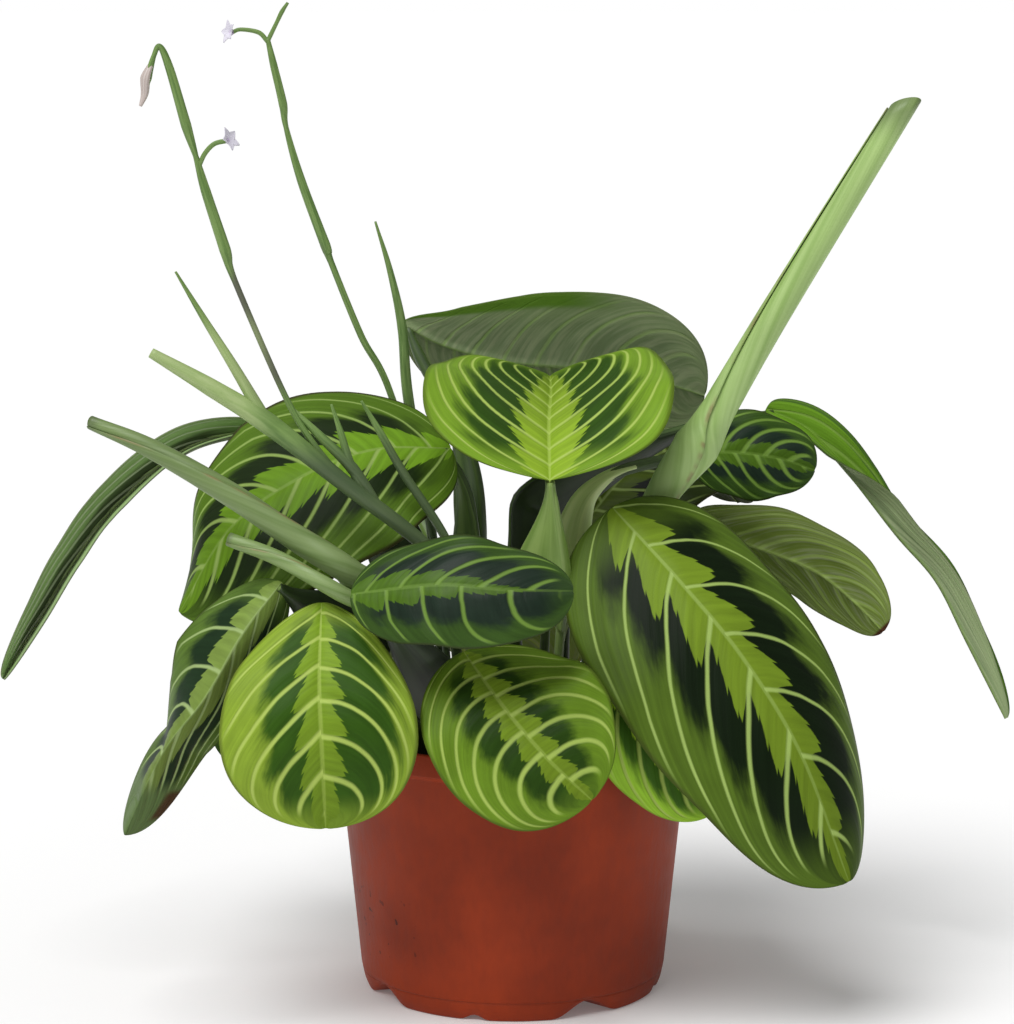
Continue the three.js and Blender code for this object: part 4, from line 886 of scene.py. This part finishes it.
def add_bloom(body, at, look):
    """Petals round a flower's centre, each a small cupped blade."""
    look = unit(np.array(look, float))
    side = unit(np.cross(look, (0, 0, 1)))
    up = np.cross(side, look)
    s = np.linspace(0, 1, 10)[:, None]
    t = np.linspace(-1, 1, 9)[None]
    width = PETAL_HALF_WIDTH * (np.sin(np.pi * s ** 0.8) * 0.9 + 0.1)
    for k in range(PETALS):
        turn = 2 * math.pi * k / PETALS
        out = side * math.cos(turn) + up * math.sin(turn)
        across = np.cross(look, out)
        lean = math.cos(PETAL_SPREAD) * look + math.sin(PETAL_SPREAD) * out
        rise = math.sin(PETAL_SPREAD) * look - math.cos(PETAL_SPREAD) * out
        reach = (PETAL_LENGTH * s - PETAL_SINK)[..., None]
        cup = (0.5 * (1 - np.cos(t * 1.4)) * width / PETAL_HALF_WIDTH - 0.9 * s ** 3)[..., None]
        middle = np.array(at, float) + lean * reach + across * (width * t)[..., None] + rise * cup
        pattern = stacked(s, t, 0.0)
        offset = rise * PETAL_THICKNESS / 2
        body.add_sheet(middle - offset, middle + offset, pattern, pattern, slot=1)


def petal_finish():
    finish = Finish("petal", Roughness=0.5)
    along, across, _ = finish.pattern()
    vein = finish.noise(across * 3, along * 0.8, 2.0)
    colour = finish.mix(along.fall(0.1, 0.45), linear(224, 220, 232), linear(188, 164, 202))
    return finish.finish(finish.shade(colour, vein * 0.2 + 0.9), vein * 0.2 + 0.4, vein, 0.1)


STEM_COLOURS = linear(126, 156, 84), linear(84, 116, 50)
TIP_COLOURS = linear(176, 194, 132), linear(148, 172, 104)
LOW_COLOUR, THIN_COLOUR = linear(58, 70, 52), linear(84, 72, 78)


def stem_finish():
    """A flower stem's skin, dark low down, purplish where thin, and pale on the shoot's own rolled leaf."""
    finish = Finish("flower_stem", Roughness=0.45)
    along, round_, length = finish.pattern()
    swing = (round_ * (2 * math.pi)).math("SINE")
    streak = finish.noise(swing * 2, length * 0.06, 3.0, detail=3)
    x, _, height = finish.place()
    colour = finish.mix(streak.rise(0.3, 0.7), *STEM_COLOURS)
    colour = finish.mix(height.fall(0.186, 0.2) * 0.7, colour, LOW_COLOUR)
    thin = x.rise(-0.0925, -0.0895) * x.fall(-0.066, -0.063)
    thin = thin * height.rise(0.206, 0.218) * height.fall(0.246, 0.256)
    colour = finish.mix(thin * 0.75, colour, THIN_COLOUR)
    outer = x.fall(-0.088, -0.076) * height.fall(0.226, 0.24)
    colour = finish.mix(outer * 0.85, colour, finish.mix(streak.rise(0.3, 0.7), *TIP_COLOURS))
    return finish.finish(finish.shade(colour, streak * 0.4 + 0.8), streak * 0.2 + 0.4, streak, 0.15)


petal_material = petal_finish()
withered_material = streaked_finish("withered_petal", (212, 202, 196), (172, 154, 146))
stem_material = stem_finish()
for name, shoot in SHOOTS.items():
    body = Body()
    for number, path in enumerate(shoot["stems"]):
        points, tangents, radii = along_path(rooted(shoot["root"], path) if number == 0 else path)
        rings = rings_along(points, tangents, radii, SHOOT_SIDES)
        body.add_tube(rings, steps_between(points).sum())
    for at, look in shoot.get("blooms", []):
        add_bloom(body, at, look)
    if "withered" in shoot:
        points, tangents, radii = along_path(shoot["withered"])
        crumpled = rings_along(points, tangents, radii, SHOOT_SIDES,
                               lambda angle: 1 + 0.25 * np.sin(3 * angle))
        body.add_tube(crumpled, WITHERED_PATTERN_LENGTH, slot=2)
    body.make(f"{name}_fine", [stem_material, petal_material, withered_material],
              material_slots[name], name)


# Pot: the solid's profile with its corners rounded, on many more sides
POT_HEIGHT, RIM_RADIUS, RIM_BAND, RIM_STEP = 92, 61.5, 8, 0.8
WALL, WALL_TAPER = 1.2, 0.1
FOOT_RADIUS, FOOT_ROUNDING, CHANNEL_START = 50, 8, 22
FOOT_KNEE_HEIGHT, FOOT_KNEE_INSET, FOOT_KNEE_SHARE = 3.2, 1, 0.6
NOTCHES = [(30, 15, 5.5), (-15, 6, 1.8)]
NOTCH_PITCH = 90
POT_SIDES = 240
CORNER_RADIUS, CORNER_STEPS = 0.9, 5
SEAM_HEIGHT = 6.5


def notch_height(angle):
    """How far the foot's edge rises at an angle in degrees, from the front."""
    rise = np.zeros_like(angle)
    for at, half_width, height in NOTCHES:
        off = np.abs((angle - at + NOTCH_PITCH * 1.5) % NOTCH_PITCH - NOTCH_PITCH / 2)
        rise += np.where(off < half_width, height * (1 + np.cos(np.pi * off / half_width)) / 2, 0)
    return rise


def wall_radius(z):
    return RIM_RADIUS - RIM_STEP - WALL_TAPER * (POT_HEIGHT - z)


def rounded(profile):
    """A profile of (radius, z, notch share) with each corner but the first and last drawn round."""
    profile = np.array(profile, float)
    made = [profile[0]]
    for before, corner, after in zip(profile, profile[1:], profile[2:]):
        ends = []
        for other in (before, after):
            reach = np.linalg.norm((other - corner)[:2])
            ends.append(corner + (other - corner) * min(CORNER_RADIUS / reach, 0.45))
        for t in np.linspace(0, 1, CORNER_STEPS):
            made.append((1 - t) ** 2 * ends[0] + 2 * t * (1 - t) * corner + t ** 2 * ends[1])
    return np.array([*made, profile[-1]])


def make_pot():
    shoulder = POT_HEIGHT - RIM_BAND
    corner = wall_radius(FOOT_ROUNDING)
    knee = corner - FOOT_KNEE_INSET
    profile = rounded([
        (CHANNEL_START, WALL, 0), (FOOT_RADIUS - WALL, WALL, 1),
        (knee - WALL, FOOT_KNEE_HEIGHT + WALL / 2, FOOT_KNEE_SHARE), (corner - WALL, FOOT_ROUNDING, 0),
        (wall_radius(shoulder) - WALL, shoulder, 0), (RIM_RADIUS - WALL, shoulder + 2, 0),
        (RIM_RADIUS - WALL, POT_HEIGHT, 0), (RIM_RADIUS, POT_HEIGHT, 0), (RIM_RADIUS, shoulder, 0),
        (wall_radius(shoulder), shoulder - 0.6, 0), (corner, FOOT_ROUNDING, 0),
        (knee, FOOT_KNEE_HEIGHT, FOOT_KNEE_SHARE), (FOOT_RADIUS, 0, 1), (CHANNEL_START, 0, 0),
    ])
    degrees = np.linspace(0, 360, POT_SIDES, endpoint=False)
    turned = np.radians(degrees - 90)
    radius, z, share = (column[:, None] for column in profile.T)
    height = z + share * notch_height(degrees)
    rings = stacked(radius * np.cos(turned), radius * np.sin(turned), height)
    body = Body()
    body.add_tube(rings, 1)
    return body


def pot_finish():
    """Red-brown plastic: clouded, finely scuffed, with a seam and specks of dried soil near the foot."""
    finish = Finish("pot", Specular_IOR_Level=0.18)
    x, y, z = finish.place()
    cloud = finish.noise(x, y, z, detail=3, scale=28)
    fine = finish.noise(x, y, z, detail=4, scale=900)
    scuff = finish.noise(x * 3, y * 3, z, detail=4, scale=160)
    colour = finish.mix(cloud.rise(0.3, 0.7), linear(154, 55, 21), linear(130, 45, 18))
    colour = finish.shade(colour, scuff * 0.3 + 0.85)
    seam = abs(z - SEAM_HEIGHT * MM).fall(0.0001, 0.0005)
    low = z.fall(0.03, 0.046) * z.rise(0.012, 0.02)
    dusty = finish.noise(x, y, z, detail=1, scale=320).rise(0.69, 0.72) * low * x.fall(-0.036, -0.028)
    colour = finish.mix(seam * 0.15, colour, linear(84, 36, 20))
    colour = finish.mix(dusty * 0.8, colour, linear(52, 20, 12))
    roughness = scuff * 0.25 + 0.4
    return finish.finish(colour, roughness, fine * 0.5 + scuff * 0.4 - seam * 2, 0.12)


pot_body = make_pot()
pot_body.make("pot_fine", [pot_finish()], "pot", "pot")


# Soil: the solid stays, with crumbs of peat over it
CRUMBS = 420
CRUMB_REACH = 55


def soil_finish():
    finish = Finish("soil", Roughness=0.95)
    x, y, z = finish.place()
    grain = finish.noise(x, y, z, detail=5, scale=380)
    lumps = finish.noise(x, y, z, detail=3, scale=90)
    colour = finish.mix(grain.rise(0.35, 0.7), linear(40, 28, 20), linear(78, 58, 42))
    return finish.finish(finish.shade(colour, lumps * 0.6 + 0.7), None, grain + lumps, 1.2)


def add_crumb(body, centre, size, rng):
    """A small uneven lump, sunk a third into the soil."""
    rows, sides = 6, 8
    polar = np.linspace(0.25, np.pi - 0.25, rows)[:, None]
    angle = np.linspace(0, 2 * np.pi, sides, endpoint=False)[None] + rng.uniform(0, 6)
    reach = size * rng.uniform(0.75, 1.15, (rows, sides))
    stretch = rng.uniform(0.7, 1.4, 2)
    lump = stacked(reach * np.sin(polar) * np.cos(angle) * stretch[0],
                   reach * np.sin(polar) * np.sin(angle) * stretch[1], -reach * 0.7 * np.cos(polar))
    body.add_tube(lump + centre, size)


soil_material = soil_finish()
soil = frame["nodes"]["soil"]
soil.data.materials.clear()
soil.data.materials.append(soil_material)

rng = np.random.default_rng(7)
crumbs = Body()
for _ in range(CRUMBS):
    radius, angle = CRUMB_REACH * math.sqrt(rng.uniform(0, 1)), rng.uniform(0, 2 * math.pi)
    size = 0.6 + 1.6 * rng.uniform() ** 3
    top = SOIL_LEVEL + 0.4 + 0.2 * size - 1.2 * smooth(50, CRUMB_REACH, radius)
    add_crumb(crumbs, (radius * math.cos(angle), radius * math.sin(angle), top), size, rng)
crumbs.make("soil_crumbs", [soil_material], "soil")


# Floor, backdrop and light
def make_floor():
    mesh = bpy.data.meshes.new("floor")
    reach = 20.0
    mesh.from_pydata([(-reach, -reach, 0), (reach, -reach, 0), (reach, reach, 0), (-reach, reach, 0)], [],
                     [(0, 1, 2, 3)])
    floor = add_object("floor", mesh)
    finish = Finish("floor", Roughness=0.9, Specular_IOR_Level=0.0)
    finish.principled.inputs["Emission Color"].default_value = (1, 1, 1, 1)
    finish.principled.inputs["Emission Strength"].default_value = 0.1
    floor.data.materials.append(finish.finish((0.92, 0.92, 0.92, 1)))


def make_sun(direction, angle, strength):
    """One large soft light, even over the whole floor."""
    data = bpy.data.lights.new("main_light", "SUN")
    data.angle = math.radians(angle)
    data.energy = strength
    light = add_object("main_light", data)
    light.rotation_euler = (-Vector(direction)).to_track_quat("-Z", "Y").to_euler()


def make_world(brightness):
    """White all round, dimmer as a light than it looks behind the part."""
    world = bpy.data.worlds.new("studio")
    world.use_nodes = True
    tree = world.node_tree
    background = tree.nodes["Background"]
    background.inputs["Color"].default_value = (1, 1, 1, 1)
    seen = add_node(tree, "LightPath", {}, "Is Camera Ray")
    plug(tree, seen * (1 - brightness) + brightness, background.inputs["Strength"])
    bpy.context.scene.world = world


make_floor()
make_world(0.3)
make_sun((-0.35, -0.45, 1.0), 40, 2.5)
bpy.context.scene.view_settings.view_transform = "Standard"
